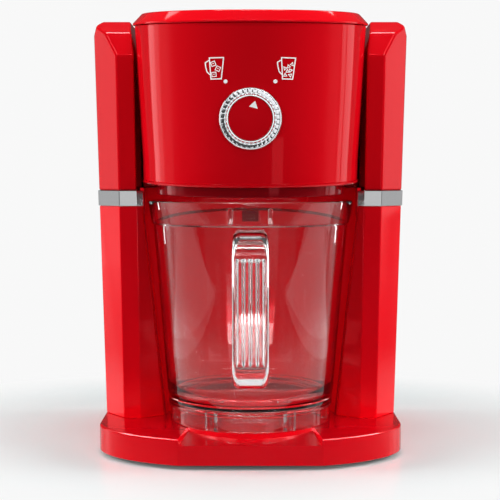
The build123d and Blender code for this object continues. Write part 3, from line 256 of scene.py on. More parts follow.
MATERIALS = {name: make(name, *look) for name, make, *look in (
    ("red_shell", gloss_red, (0.53, 0.0011, 0.006), (0.49, 0.0008, 0.0045)),
    # red_collar is the shell's red painted about three times darker: painted shade for the chute ring and the
    # switch cap, which sit in shadow
    ("red_collar", gloss_red, (0.17, 0.001, 0.004), (0.15, 0.001, 0.003)),
    ("chrome", chrome, (0.80, 0.81, 0.83), 0.05),
    ("band_chrome", chrome, (0.74, 0.75, 0.76), 0.16, 0.00002),
    ("clear_plastic", clear_plastic),
    ("black_plastic", plain_plastic, (0.022, 0.022, 0.024), (0.014, 0.014, 0.015), 0.45),
    ("rubber", plain_plastic, (0.030, 0.030, 0.030), (0.020, 0.020, 0.020), 0.75, 700.0, 0.00005),
    ("white_plastic", plain_plastic, (0.82, 0.82, 0.80), (0.76, 0.76, 0.74), 0.35),
    ("gear_nylon", plain_plastic, (0.78, 0.75, 0.64), (0.72, 0.69, 0.58), 0.4),
    ("steel", metal, (0.62, 0.62, 0.63), (0.48, 0.48, 0.50), 0.28),
    ("screw_steel", metal, (0.42, 0.42, 0.43), (0.30, 0.30, 0.31), 0.32),
    ("copper", metal, (0.62, 0.28, 0.12), (0.50, 0.20, 0.08), 0.35, (1, 1, 40)),
    ("bush_bronze", metal, (0.50, 0.34, 0.18), (0.40, 0.26, 0.13), 0.5, (1, 1, 1)),
    ("print_white", plain_plastic, (0.98, 0.98, 0.98), (0.94, 0.94, 0.94), 0.4, 900.0, 0.00001),
)}


# Mesh helpers

def arc(x, y, radius, start, sweep, steps):
    """Points on an arc round a centre, from a starting angle over a sweep."""
    turns = [start + sweep * step / steps for step in range(steps + 1)]
    return [(x + radius * cos(turn), y + radius * sin(turn)) for turn in turns]


def mesh_from(name, shape):
    """A mesh from a shape's vertices, in millimetres, and faces. The faces are turned outward."""
    vertices, faces = shape
    mesh = bpy.data.meshes.new(name)
    mesh.from_pydata([Vector(point) * MM for point in vertices], [], faces)
    built = bmesh.new()
    built.from_mesh(mesh)
    bmesh.ops.recalc_face_normals(built, faces=built.faces)
    built.to_mesh(mesh)
    built.free()
    return mesh


def sliced(mesh, cuts):
    """Cut a convex mesh by planes, each a (point, outward normal) pair, and close each cut."""
    built = bmesh.new()
    built.from_mesh(mesh)
    for point, normal in cuts:
        result = bmesh.ops.bisect_plane(built, geom=built.verts[:] + built.edges[:] + built.faces[:],
                                        plane_co=point * MM, plane_no=normal, clear_outer=True)
        edges = [part for part in result["geom_cut"] if isinstance(part, bmesh.types.BMEdge)]
        if edges:
            bmesh.ops.contextual_create(built, geom=edges)
    bmesh.ops.dissolve_limit(built, angle_limit=radians(0.2), verts=built.verts, edges=built.edges)
    bmesh.ops.recalc_face_normals(built, faces=built.faces)
    built.to_mesh(mesh)
    built.free()


def smoothed(mesh):
    for polygon in mesh.polygons:
        polygon.use_smooth = True


def eased(piece, width, steps, angle):
    """Round the edges of a piece that turn by more than an angle."""
    easing = piece.modifiers.new("edges", "BEVEL")
    easing.width = width * MM
    easing.segments = steps
    easing.limit_method = "ANGLE"
    easing.angle_limit = radians(angle)
    return easing


def make_piece(name, shape, body="body", slot="red_shell", material=None, sharp=30, bevel=0.0, steps=3,
               cuts=()):
    """A piece from a shape, cut and rounded where asked. It is red and on the fixed body by default."""
    mesh = mesh_from(name, shape)
    if cuts:
        sliced(mesh, cuts)
    smoothed(mesh)
    mesh.set_sharp_from_angle(angle=radians(sharp))
    mesh.materials.append(MATERIALS[material or slot])
    piece = bpy.data.objects.new(name, mesh)
    bpy.context.collection.objects.link(piece)
    if bevel:
        eased(piece, bevel, steps, 20).harden_normals = True
    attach(piece, body)
    return piece


def rounded(points, steps=4):
    """An outline of (x, y, radius) corners with each corner turned into an arc of its radius."""
    outline = []
    count = len(points)
    for index, (x, y, radius) in enumerate(points):
        if radius <= 0:
            outline.append((x, y))
            continue
        before, after = points[index - 1], points[(index + 1) % count]
        first = Vector((before[0] - x, before[1] - y)).normalized()
        second = Vector((after[0] - x, after[1] - y)).normalized()
        half = first.angle(second) / 2
        reach = radius / tan(half)
        middle = Vector((x, y)) + (first + second).normalized() * radius / sin(half)
        start = Vector((x, y)) + first * reach - middle
        sweep = start.angle_signed(Vector((x, y)) + second * reach - middle)
        for step in range(steps + 1):
            turn = -sweep * step / steps
            spoke = Matrix.Rotation(turn, 2) @ start
            outline.append((middle.x + spoke.x, middle.y + spoke.y))
    return outline


def around(radius, angle):
    """A point of the plan on a circle round the machine's upright axis."""
    return radius * cos(angle), AXIS_Y + radius * sin(angle)


def upright(radius, height, angle):
    """A lathe's placer for what turns round the machine's upright axis."""
    return (*around(radius, angle), height)


def lathe(outline, place=upright, segments=192, start=0.0, sweep=2 * pi):
    """The shape turned by a closed outline of (radius, height) points."""
    whole = sweep > 2 * pi - 0.001
    rings = segments if whole else segments + 1
    vertices, rows = [], []
    for radius, height in outline:
        if abs(radius) < 0.0001:
            vertices.append(place(0.0, height, 0.0))
            rows.append([len(vertices) - 1] * rings)
            continue
        rows.append(list(range(len(vertices), len(vertices) + rings)))
        vertices += [place(radius, height, start + sweep * step / segments) for step in range(rings)]
    faces = []
    for low, high in zip(rows, rows[1:] + rows[:1]):
        if low[0] == low[1] and high[0] == high[1]:
            continue
        for step in range(segments):
            after = (step + 1) % rings
            corners = [low[step], low[after], high[after], high[step]]
            faces.append(list(dict.fromkeys(corners)))
    if not whole:
        faces.append([row[0] for row in rows])
        faces.append([row[-1] for row in reversed(rows)])
    return vertices, faces


def lofted(rows, ring=False):
    """The shape through closed rows of as many points each. A ring joins its last row to its first."""
    count = len(rows[0])
    vertices = [point for row in rows for point in row]
    faces = []
    for level in range(len(rows) if ring else len(rows) - 1):
        low, high = level * count, (level + 1) % len(rows) * count
        for index in range(count):
            after = (index + 1) % count
            faces.append([low + index, low + after, high + after, high + index])
    if not ring:
        top = len(vertices) - count
        faces += [list(reversed(range(count))), [top + index for index in range(count)]]
    return vertices, faces


def slab(sections):
    """The shape through plans, each an (outline, height) pair."""
    return lofted([[(x, y, height) for x, y in outline] for outline, height in sections])


def side_solid(outline, first_x, last_x):
    """The shape of an outline of (y, z) points, from one side to the other."""
    return lofted([[(x, y, z) for y, z in outline] for x in (first_x, last_x)])


def mirrored(shape, side):
    """The shape itself for side 1, its mirror image for side -1."""
    vertices, faces = shape
    return [(side * x, y, z) for x, y, z in vertices], faces


def moved(matrix, shape):
    vertices, faces = shape
    return [tuple(matrix @ Vector(point)) for point in vertices], faces


# Places

def tilted(height, tilt):
    """The matrix, in millimetres, of a plane that leans down towards the front."""
    return Matrix.Translation((0, AXIS_Y, height)) @ Matrix.Rotation(radians(tilt), 4, "X")


def drum_radius(height):
    return HEAD_LOW_RADIUS + HEAD_FLARE * (height - HEAD_LOW_Z)


def on_tilted_planes(planes):
    """A lathe's placer whose heights are counted from two leaning planes, each a (height, tilt) pair.

    Heights near SECOND_PLANE belong to the second plane. Wide radii follow the drum's taper.
    """
    def place(radius, height, angle):
        second = height > SECOND_PLANE / 2
        level, tilt = planes[second]
        rise = height - SECOND_PLANE if second else height
        real = level
        for _ in range(5):
            wide = radius if radius < TAPERED_FROM else radius - HEAD_LOW_RADIUS + drum_radius(real)
            x, y = around(wide, angle)
            real = level + (y - AXIS_Y) * tan(radians(tilt)) + rise
        return x, y, real
    return place


def turning_on(matrix):
    """A lathe's placer for what turns round the third axis of a matrix."""
    def place(radius, height, angle):
        return tuple(matrix @ Vector((radius * cos(angle), radius * sin(angle), height)))
    return place


KNOB_PLANE = (Matrix.Translation((0, AXIS_Y - drum_radius(KNOB_Z), KNOB_Z))
              @ Matrix.Rotation(HEAD_LEAN + pi / 2, 4, "X"))


# Towers and bands

def tower_widths(height):
    rise = height - BASE_TOP
    return [foot + lean * rise for foot, lean in (TOWER_INNER, TOWER_FACET, TOWER_OUTER)]


def bay_radius(height):
    share = min(1.0, (height - BASE_TOP) / (BAY_STEP_Z - BASE_TOP))
    return BAY_FOOT + share * (BAY_STEP - BAY_FOOT)


def nose_meeting(height, proud=0.0):
    """Where the slanting front of the tower meets the wall of the bay."""
    inner = tower_widths(height)[0]
    radius = bay_radius(height)
    low, high = 0.0, inner
    for _ in range(40):
        x = (low + high) / 2
        y = TOWER_FRONT_Y - proud + NOSE_SLOPE * (inner - x)
        low, high = (x, high) if hypot(x, y - AXIS_Y) < radius else (low, x)
    return x, y


def bay_start(height, proud=0.0):
    """The direction from the jug's axis in which the bay's wall starts."""
    x, y = nose_meeting(height, proud)
    return atan2(y - AXIS_Y, x)


def lower_outline(height, proud=0.0):
    """Plan of the right-hand lower tower: outside faces, then the skin's return along the bay's wall."""
    inner, facet, outer = tower_widths(height)
    angle = bay_start(height, proud)
    radius = bay_radius(height)
    behind = radius + WALL + 2 * GAP
    skin = arc(0, AXIS_Y, radius, angle, SKIN_SWEEP, 3)
    skin += arc(0, AXIS_Y, behind, angle + SKIN_SWEEP, RETURN_SWEEP, 4)
    return [(inner, TOWER_FRONT_Y - proud), (facet, TOWER_FRONT_Y - proud),
            (outer + proud, TOWER_SIDE_Y - proud / 2), (outer + proud, BACK_Y - REAR_CORNER_DEPTH),
            (outer - REAR_CORNER_WIDTH, TOWER_BACK_Y), (skin[-1][0] + 2, TOWER_BACK_Y)] + list(reversed(skin))


def upper_outline(height):
    """Plan of the right-hand upper tower."""
    inner, facet, outer = tower_widths(height)
    return [(inner, TOWER_FRONT_Y), (facet, TOWER_FRONT_Y), (outer, TOWER_SIDE_Y),
            (outer, BACK_Y - REAR_CORNER_DEPTH), (outer - REAR_CORNER_WIDTH, TOWER_BACK_Y),
            (inner, TOWER_BACK_Y)]


def tower_cuts(side):
    """The planes that give the top of a tower its facets."""
    inner, _, outer = tower_widths(TOWER_TOP)
    cuts = []
    for (y0, z0), (y1, z1) in zip(FRONT_BEVELS, FRONT_BEVELS[1:]):
        cuts.append((Vector((0, TOWER_FRONT_Y + y0, z0)), Vector((0, z0 - z1, y1 - y0))))
    for (x0, z0), (x1, z1) in zip(OUTER_BEVELS, OUTER_BEVELS[1:]):
        cuts.append((Vector((side * (outer - x0), 0, z0)), Vector((side * (z1 - z0), 0, x1 - x0))))
    for (x0, z0), (x1, z1) in zip(INNER_BEVELS, INNER_BEVELS[1:]):
        cuts.append((Vector((side * (inner + x0), 0, z0)), Vector((side * (z0 - z1), 0, x1 - x0))))
    (y0, z0), (y1, z1) = REAR_BEVEL
    cuts.append((Vector((0, TOWER_BACK_Y - y0, z0)), Vector((0, z1 - z0, y1 - y0))))
    return cuts


def make_towers():
    """Each tower is a lower cover, a chrome band that stands proud, and an upper cover with facets."""
    upper = slab([(upper_outline(z), z) for z in (BAND_HIGH, TOWER_TOP)])
    lower = slab([(lower_outline(z), z) for z in (BASE_TOP, BAY_STEP_Z, BAND_LOW)])
    band = slab([(lower_outline(z, BAND_PROUD), z) for z in (BAND_LOW + SEAM_GAP, BAND_HIGH - SEAM_GAP)])
    for side, name in ((1, "right"), (-1, "left")):
        shape = mirrored(upper, side)
        piece = make_piece(f"{name}_upper_cover", shape, bevel=1.8, steps=5, cuts=tower_cuts(side))
        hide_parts(f"{name}_tower_upper")
        piece = make_piece(f"{name}_lower_cover", mirrored(lower, side), bevel=1.0)
        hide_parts(f"{name}_tower_lower")
        shape = mirrored(band, side)
        piece = make_piece(f"{name}_trim_band", shape, "body", "chrome", "band_chrome", bevel=0.5)
        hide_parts(f"{name}_chrome_band")


def make_bay_liner():
    """The curved wall behind the jug, from one tower's nose to the other's, and the bulkhead at its step."""
    sections = 96
    levels = []
    for height, extra in ((BASE_TOP, 0), (BAY_STEP_Z, 0), (BAY_TOP, 0),
                          (BAY_TOP, WALL), (BAY_STEP_Z, WALL), (BASE_TOP, WALL)):
        start = bay_start(height) + SKIN_SWEEP + LINER_START
        levels.append((bay_radius(height) + extra, height, start))
    rows = [[upright(radius, height, start + (pi - 2 * start) * step / sections)
             for radius, height, start in levels] for step in range(sections + 1)]
    piece = make_piece("bay_wall", lofted(rows))
    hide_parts("bay_liner")
    spread = asin(BULKHEAD_HALF / BULKHEAD_RADIUS)
    outline = rounded([(BULKHEAD_RADIUS, BAY_STEP_Z, 0.6), (BAY_STEP + FIT, BAY_STEP_Z, 0),
                       (BAY_STEP + FIT, BAY_TOP, 0), (BULKHEAD_RADIUS, BAY_TOP, 0)])
    shape = lathe(outline, segments=48, start=pi / 2 - spread, sweep=2 * spread)
    make_piece("bay_bulkhead", shape)


# Base

def base_outline(inset=0.0):
    """Plan of the base: a flat front, elliptic shoulders, straight sides and cut rear corners."""
    half = BASE_HALF - inset
    front = BASE_FRONT_Y + inset
    depth = (BASE_SIDE_Y - BASE_FRONT_Y) / sqrt(1 - (BASE_FRONT_HALF / BASE_HALF) ** 2) - inset
    first = -asin((BASE_SIDE_Y - front) / depth)
    steps = 40
    right = []
    for step in range(steps + 1):
        angle = first * (1 - step / steps)
        right.append((half * cos(angle), BASE_SIDE_Y + depth * sin(angle)))
    right += [(half, BACK_Y - REAR_CORNER_DEPTH - inset / 2), (half - REAR_CORNER_WIDTH, BACK_Y - inset)]
    return right + [(-x, y) for x, y in reversed(right)]


def make_base():
    """The base with its rounded top edge; the run-off channel is cut out of it."""
    foot_edge = 0.5
    sections = [(base_outline(foot_edge), BASE_LOW), (base_outline(), BASE_LOW + foot_edge)]
    steps = 9
    for step in range(steps + 1):
        angle = pi / 2 * step / steps
        rise = BASE_EDGE * sin(angle)
        sections.append((base_outline(BASE_EDGE * (1 - cos(angle))), BASE_TOP - BASE_EDGE + rise))
    piece = make_piece("base_cover", slab(sections))
    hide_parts("base_shell")
    cutter = bpy.data.objects.new("channel_cutter", mesh_from("channel_cutter", channel_shape()))
    bpy.context.collection.objects.link(cutter)
    modifier = piece.modifiers.new("channel", "BOOLEAN")
    modifier.object = cutter
    modifier.operation = "DIFFERENCE"
    modifier.solver = "EXACT"
    bpy.context.view_layer.update()
    graph = bpy.context.evaluated_depsgraph_get()
    cut = bpy.data.meshes.new_from_object(piece.evaluated_get(graph))
    piece.modifiers.clear()
    piece.data = cut
    bpy.data.objects.remove(cutter)
    smoothed(cut)
    cut.set_sharp_from_angle(angle=radians(13))
    eased(piece, 1.3, 3, 28).harden_normals = True


def channel_shape():
    """The run-off in front of the jug's round pad, deeper towards the front, with sloping sides."""
    over = 10.0
    run = CHANNEL_BACK_Y - BASE_FRONT_Y
    drop = (CHANNEL_FRONT_DEPTH - CHANNEL_BACK_DEPTH) / run
    flare = (CHANNEL_FRONT_HALF - CHANNEL_BACK_HALF) / run

    def outline(share):
        """Plan of the channel at its floor, share 0, or its top, share 1: the pad's arc, then the sides."""
        back = CHANNEL_BACK_HALF + CHANNEL_CHAMFER * share
        front = CHANNEL_FRONT_HALF + flare * over + CHANNEL_CHAMFER * share
        pad = PAD_RADIUS + PAD_FLARE * (1 - share)
        half_turn = asin((back - 1.5) / pad)
        pad_arc = arc(0, AXIS_Y, pad, -pi / 2 - half_turn, 2 * half_turn, 32)
        return pad_arc + [(back, CHANNEL_BACK_Y + 1), (front, BASE_FRONT_Y - over),
                          (-front, BASE_FRONT_Y - over), (-back, CHANNEL_BACK_Y + 1)]

    floor = [(x, y, BASE_TOP - CHANNEL_BACK_DEPTH - drop * (CHANNEL_BACK_Y - y)) for x, y in outline(0.0)]
    brims = [[(x, y, z) for x, y in outline(1.0)] for z in (BASE_TOP + 0.01, BASE_TOP + over)]
    return lofted([floor] + brims)


# Head: drum, deck, hinge, lid, collar

def make_drum():
    """The tapered drum. Its wall rises inside the foot's rounding, whose upper part stands out as a lip."""
    planes = ((HEAD_LOW_Z, HEAD_LOW_TILT), (SEAM_Z, SEAM_TILT))
    full, top = HEAD_LOW_RADIUS, SECOND_PLANE
    foot = rounded([(COLLAR_RADIUS + FIT, 0, 0.6), (full, 0, 2.0), (full, top, 0), (full - WALL, top, 0),
                    (full - WALL, WALL, 1.0), (COLLAR_RADIUS + FIT, WALL, 0)], 6)
    foot = [point for point in foot if point[1] < top / 2]
    # The wall stands on the foot's outline just before this point, which lies on the rounding
    wall_from = 9
    rim = [(full, top - 0.8), (full - 0.25, top - 0.2), (full - 0.7, top), (full - WALL, top)]
    shape = lathe(foot[:wall_from] + rim + foot[wall_from:], on_tilted_planes(planes), 256)
    piece = make_piece("head_drum", shape, sharp=28)
    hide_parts("head_shell")


def make_deck():
    """The flat-topped housing behind the drum, between the towers."""
    seam_slope = tan(radians(SEAM_TILT))
    seam_front = SEAM_Z + (DECK_FRONT_Y - AXIS_Y) * seam_slope - 0.1
    seam_end = AXIS_Y + (DECK_Z - SEAM_Z) / seam_slope
    (y0, z0), (y1, z1) = REAR_BEVEL
    slope = (z1 - z0) / (y1 - y0)
    profile = [(DECK_FRONT_Y, DECK_LOW_Z), (TOWER_BACK_Y, DECK_LOW_Z), (TOWER_BACK_Y, z0),
               (TOWER_BACK_Y - (DECK_Z - z0) / slope, DECK_Z), (seam_end, DECK_Z), (DECK_FRONT_Y, seam_front)]
    shape = lofted([[(side * (tower_widths(z)[0] - 2 * GAP), y, z) for y, z in profile] for side in (-1, 1)])
    piece = make_piece("rear_deck", shape, bevel=1.2, steps=4)
    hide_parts("rear_housing")


def make_hinge():
    """Three ears on the deck, each a post with a round top, and the lid's two arms between them."""
    place = tilted(SEAM_Z, SEAM_TILT)
    centre = place @ Vector((0, HINGE_REACH, HINGE_RISE))
    foot = HINGE_BARREL + 1.5
    ear = arc(centre.y, centre.z, HINGE_BARREL, 0, pi, 12)
    ear += [(centre.y - foot, DECK_Z - GAP), (centre.y + foot, DECK_Z - GAP)]
    spans = ((-HINGE_HALF, -HINGE_LID_HIGH - GAP), (-HINGE_LID_LOW + GAP, HINGE_LID_LOW - GAP),
             (HINGE_LID_HIGH + GAP, HINGE_HALF))
    for number, (first_x, last_x) in enumerate(spans):
        make_piece(f"hinge_ear_{number + 1}", side_solid(ear, first_x, last_x), bevel=0.5)
    steps = 9
    lean = pi / 18
    arm = [(LID_FLAT - 1.5, LID_LIP + 0.4), (HINGE_REACH - 1, HINGE_RISE - HINGE_BARREL)]
    for step in range(steps + 1):
        turn = pi * step / steps - pi / 2
        arm.append((HINGE_REACH + HINGE_BARREL * cos(turn + lean * (1 - step / steps)),
                    HINGE_RISE + HINGE_BARREL * sin(turn)))
    arm += [(HINGE_REACH - 1, HINGE_RISE + HINGE_BARREL), (LID_FLAT - 1.5, LID_HEIGHT - 0.6)]
    for number, side in enumerate((-1, 1)):
        shape = moved(place, side_solid(arm, side * HINGE_LID_LOW, side * HINGE_LID_HIGH))
        make_piece(f"lid_arm_{number + 1}", shape, "lid", bevel=0.5)


def make_lid():
    """The domed lid with its hollow edge and its plug, and the seal round the plug."""
    place = turning_on(tilted(SEAM_Z, SEAM_TILT))
    dome, shelf = 0.25, 5.0
    inside = LID_RADIUS - LID_RIM_WIDTH
    under = LID_HEIGHT - WALL
    slope_in = inside + (LID_FLAT - LID_RIM_WIDTH - inside) * shelf / under
    plug_in, plug_top, plug_z = LID_PLUG - WALL, under - SEAM_GAP, -LID_PLUG_DEPTH
    outline = rounded([(0, LID_HEIGHT + dome, 0), (LID_FLAT, LID_HEIGHT, 2.4),
                       (LID_RADIUS, LID_LIP + GAP, 0.9), (LID_RADIUS, GAP, 0.5),
                       (inside, GAP, 0), (slope_in + 0.6, shelf, 0.5),
                       (LID_PLUG, shelf, 0), (LID_PLUG, plug_z, 0.6), (plug_in, plug_z, 0.6),
                       (plug_in, plug_top, 0), (0, plug_top, 0)], 6)
    piece = make_piece("hopper_lid", lathe(outline, place, 256), "lid", sharp=28)
    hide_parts("lid")
    seal_in, seal_out, seal_high = LID_PLUG + 0.02, LID_PLUG + 1.7, 2.5
    seal = rounded([(seal_in, plug_z, 0), (seal_out, plug_z, 0.5), (seal_out + 0.3, plug_z + 1.2, 0.4),
                    (seal_out, plug_z + seal_high, 0.5), (seal_in, plug_z + seal_high, 0)])
    piece = make_piece("seal_ring", lathe(seal, place), "lid", "rubber", sharp=40)
    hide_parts("lid_seal")


def make_collar():
    """The ring under the drum, through which the ice falls. Its darker red is painted shade."""
    plane = (COLLAR_LOW_Z, COLLAR_TILT)
    shoulder = HEAD_LOW_Z + 2 * WALL - COLLAR_LOW_Z
    top = PLATE_Z - COLLAR_LOW_Z
    inside = COLLAR_RADIUS - WALL
    outline = rounded([(inside, 0, 0.8), (COLLAR_RADIUS, 0, 1.0), (COLLAR_RADIUS, shoulder, 0),
                       (PLATE_RADIUS, top, 0), (PLATE_RADIUS - WALL, top, 0), (inside, shoulder, 0)])
    shape = lathe(outline, on_tilted_planes((plane, plane)))
    # The darker red_collar colour paints the shadow under the drum onto the ring
    piece = make_piece("chute_ring", shape, "body", "red_collar", sharp=28)
    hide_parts("chute_collar")


# Knob

def make_knob():
    """The chrome bezel with its dished front, the grip and the red face in it."""
    behind, edge = -1.2, 3.4
    bezel = rounded([(BEZEL_RADIUS, behind, 0), (BEZEL_RADIUS, edge, 0.6),
                     (BEZEL_RADIUS - 0.5, BEZEL_FRONT, 0.3), (BEZEL_RADIUS - 1.1, BEZEL_FRONT, 0.2),
                     (BEZEL_RADIUS - 1.4, edge, 0.15),
                     (BEZEL_INNER - 0.7, 3.0, 0.2), (BEZEL_INNER - 0.8, BEZEL_FLOOR, 0),
                     (KNOB_HOLE, BEZEL_FLOOR, 0), (KNOB_HOLE, behind, 0)], 5)
    piece = make_piece("bezel_ring", lathe(bezel, turning_on(KNOB_PLANE), 160), "body", "chrome")
    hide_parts("knob_bezel")
    make_knob_grip()
    high = KNOB_FRONT - KNOB_RECESS
    low = high - KNOB_FACE_THICKNESS
    disc = rounded([(0, low, 0), (KNOB_FACE_RADIUS, low, 0), (KNOB_FACE_RADIUS, high, 0.5), (0, high, 0)])
    piece = make_piece("face_disc", lathe(disc, turning_on(KNOB_PLANE), 128), "knob")
    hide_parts("knob_face")


def make_knob_grip():
    """The knob's side has a ring of shallow scallops; its front is a polished rim."""
    per_flute = 8
    count = KNOB_FLUTES * per_flute
    flat_share, scallop_depth = 0.45, 0.6

    def scallop(index):
        share = index % per_flute / per_flute - flat_share
        return 0.0 if share < 0 else scallop_depth * sin(pi * share / (1 - flat_share))

    def ring(radius, height, notch=0.0):
        """A level of the grip. The notch is how much of the scallops' depth shows there."""
        spokes = [(radius - notch * scallop(index), 2 * pi * index / count) for index in range(count)]
        return [(spoke * cos(angle), spoke * sin(angle), height) for spoke, angle in spokes]

    low = BEZEL_FLOOR + 0.6
    rim_low = KNOB_FRONT - 1.9
    floor = KNOB_FRONT - KNOB_RECESS - KNOB_FACE_THICKNESS
    rows = [ring(KNOB_HOLE, low), ring(KNOB_RADIUS - 0.6, low, 0.4), ring(KNOB_RADIUS, low + 0.6, 0.8),
            ring(KNOB_TIP + 0.25, rim_low - 0.7, 0.4), ring(KNOB_TIP - 0.1, rim_low)]
    rows += [ring(radius, KNOB_FRONT - drop) for radius, drop in (
        (KNOB_TIP - 0.1, 0.6), (KNOB_TIP - 0.18, 0.25), (KNOB_TIP - 0.4, 0.0), (KNOB_FACE_RADIUS + 0.4, 0.0),
        (KNOB_FACE_RADIUS + 0.18, 0.2), (KNOB_FACE_RADIUS + 0.1, 0.6))]
    rows += [ring(KNOB_FACE_RADIUS + 0.1, floor), ring(KNOB_HOLE, floor - 0.4)]
    shape = moved(KNOB_PLANE, lofted(rows, ring=True))
    piece = make_piece("grip_ring", shape, "knob", "chrome", sharp=32)
    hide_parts("knob_body")


# Printed marks

def strip(points, width, closed=False):
    """Corner points either side of a line of points, for a ribbon of even width."""
    count = len(points)
    left, right = [], []
    for index, point in enumerate(points):
        here = Vector(point)
        before = Vector(points[index - 1]) if index or closed else here
        after = Vector(points[(index + 1) % count]) if index < count - 1 or closed else here
        first = (here - before).normalized() if (here - before).length else (after - here).normalized()
        second = (after - here).normalized() if (after - here).length else first
        along = (first + second).normalized()
        across = Vector((-along.y, along.x))
        reach = width / 2 / max(0.45, across.dot(Vector((-first.y, first.x))))
        left.append(here + across * reach)
        right.append(here - across * reach)
    return left, right


def divided(points, step, closed=False):
    """The same line with points no further apart than a step, so that it can follow a curved surface."""
    line = []
    pairs = list(zip(points, points[1:] + points[:1])) if closed else list(zip(points, points[1:]))
    for first, second in pairs:
        parts = max(1, int(hypot(second[0] - first[0], second[1] - first[1]) / step) + 1)
        line += [(first[0] + (second[0] - first[0]) * part / parts,
                  first[1] + (second[1] - first[1]) * part / parts) for part in range(parts)]
    return line if closed else line + [points[-1]]


def on_drum(x, z, lift):
    radius = drum_radius(z) + lift
    return (x, AXIS_Y - sqrt(radius ** 2 - x ** 2), z)


def solid_marks(name, ribbons, place, body):
    """Several ribbons as one thin printed piece. A ribbon is (left points, right points, closed)."""
    vertices, faces = [], []
    for left, right, closed in ribbons:
        rows = [[place(*point, lift) for point, lift in (
            (first, PRINT_LIFT), (second, PRINT_LIFT), (second, -PRINT_SINK), (first, -PRINT_SINK))]
            for first, second in zip(left, right)]
        points, corners = lofted(rows, closed)
        start = len(vertices)
        vertices += points
        faces += [[start + corner for corner in face] for face in corners]
    make_piece(name, (vertices, faces), body, "white_plastic", "print_white", sharp=40)


def ribbon(points, width, closed=False, step=1.2):
    left, right = strip(divided(points, step, closed), width, closed)
    return left, right, closed


def dot(x, z, radius):
    """A filled disc as a ribbon from its upper half to its lower half."""
    upper = arc(x, z, radius, pi, -pi, 28)[1:-1]
    return upper, [(upper_x, 2 * z - upper_z) for upper_x, upper_z in upper], False


def turned_shape(points, x, z, angle, size):
    """Points of a small shape, turned, enlarged and brought to a place."""
    along, aside = size * cos(angle), size * sin(angle)
    return [(x + across * along - up * aside, z + across * aside + up * along) for across, up in points]


def jug_symbol(left, right, foot_left, foot_right, low, high, handle):
    """The outline of a jug with its handle on the left."""
    return [ribbon([(left, high), (right, high), (foot_right, low), (foot_left, low)], ICON_LINE, True),
            ribbon(handle, ICON_LINE)]


def make_jug_switch():
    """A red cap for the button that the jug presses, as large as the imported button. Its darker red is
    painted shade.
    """
    corners = [Vector(corner) / MM for corner in frame["nodes"]["jug_button"].bound_box]
    low = [min(corner[axis] for corner in corners) for axis in range(3)]
    high = [max(corner[axis] for corner in corners) for axis in range(3)]
    outline = [(low[0], low[1]), (high[0], low[1]), (high[0], high[1]), (low[0], high[1])]
    shape = slab([(outline, low[2]), (outline, high[2])])
    # The collar's darker red paints the shade inside the bay onto the cap
    piece = make_piece("switch_cap", shape, "jug_button", "red_shell", "red_collar", bevel=0.6)
    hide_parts("jug_button")


def make_symbols():
    """Jugs with big cubes and with crushed ice beside the knob's two settings, and a dot at each setting."""
    low, high = 272.3, 286.6
    marks = jug_symbol(-28.1, -18.3, -27.0, -19.9, low, high,
                       [(-28.0, 285.2), (-30.9, 283.4), (-30.6, 280.5), (-29.7, 277.2), (-27.7, 275.3)])
    cube, glint, cube_size = [(-1, -1), (1, -1), (1, 1), (-1, 1)], [(-0.35, 0.1), (0.35, 0.1)], 1.45
    for x, z, angle in ((-25.4, 282.6, 0.35), (-22.2, 279.2, -0.45), (-24.9, 275.4, 0.1)):
        marks.append(ribbon(turned_shape(cube, x, z, angle, cube_size), ICON_FINE, True, 0.8))
        marks.append(ribbon(turned_shape(glint, x, z, angle, cube_size), ICON_FINE))
    solid_marks("symbol_cubes", marks, on_drum, "body")
    marks = jug_symbol(21.2, 30.9, 21.9, 28.9, low, high,
                       [(21.3, 285.2), (18.4, 283.4), (18.8, 280.3), (19.6, 277.1), (21.6, 275.3)])
    chip, chip_size = [(-1, -0.6), (0.9, -0.8), (0.2, 0.9)], 1.15
    for x, z, angle in ((23.6, 275.0, 0.2), (27.0, 274.9, 1.4), (25.2, 277.4, 2.3), (23.4, 279.6, 0.9),
                        (27.4, 278.0, 2.9), (26.0, 280.9, 0.5), (28.3, 282.2, 1.9)):
        marks.append(ribbon(turned_shape(chip, x, z, angle, chip_size), ICON_FINE, True, 0.8))
    solid_marks("symbol_crushed", marks, on_drum, "body")
    dot_x, dot_z, dot_radius = 17.0, 270.5, 1.35
    dots = [dot(side * dot_x, dot_z, dot_radius) for side in (-1, 1)]
    solid_marks("setting_dots", dots, on_drum, "body")


def make_pointer():
    """The pointer on the knob's face, a narrow triangle that turns with the knob."""
    plane = KNOB_PLANE @ Matrix.Rotation(radians(-KNOB_REST_ANGLE), 4, "Z")
    face = KNOB_FRONT - KNOB_RECESS

    def on_face(x, z, lift):
        return tuple(plane @ Vector((x, z, face + lift)))

    tip, foot, half = 12.2, 7.5, 3.0
    steps = 6
    left = [(-half * step / steps, tip + (foot - tip) * step / steps) for step in range(steps + 1)]
    right = [(-x, z) for x, z in left]
    point = ([(0, tip), left[1]], [(0, tip - 0.001), right[1]], False)
    solid_marks("pointer_mark", [(left[1:], right[1:], False), point], on_face, "knob")


# Jug

def jug_radius(height):
    share = (height - JUG_WAIST_H) / (JUG_SHOULDER_H - JUG_WAIST_H)
    return JUG_WAIST + share * (JUG_SHOULDER - JUG_WAIST)


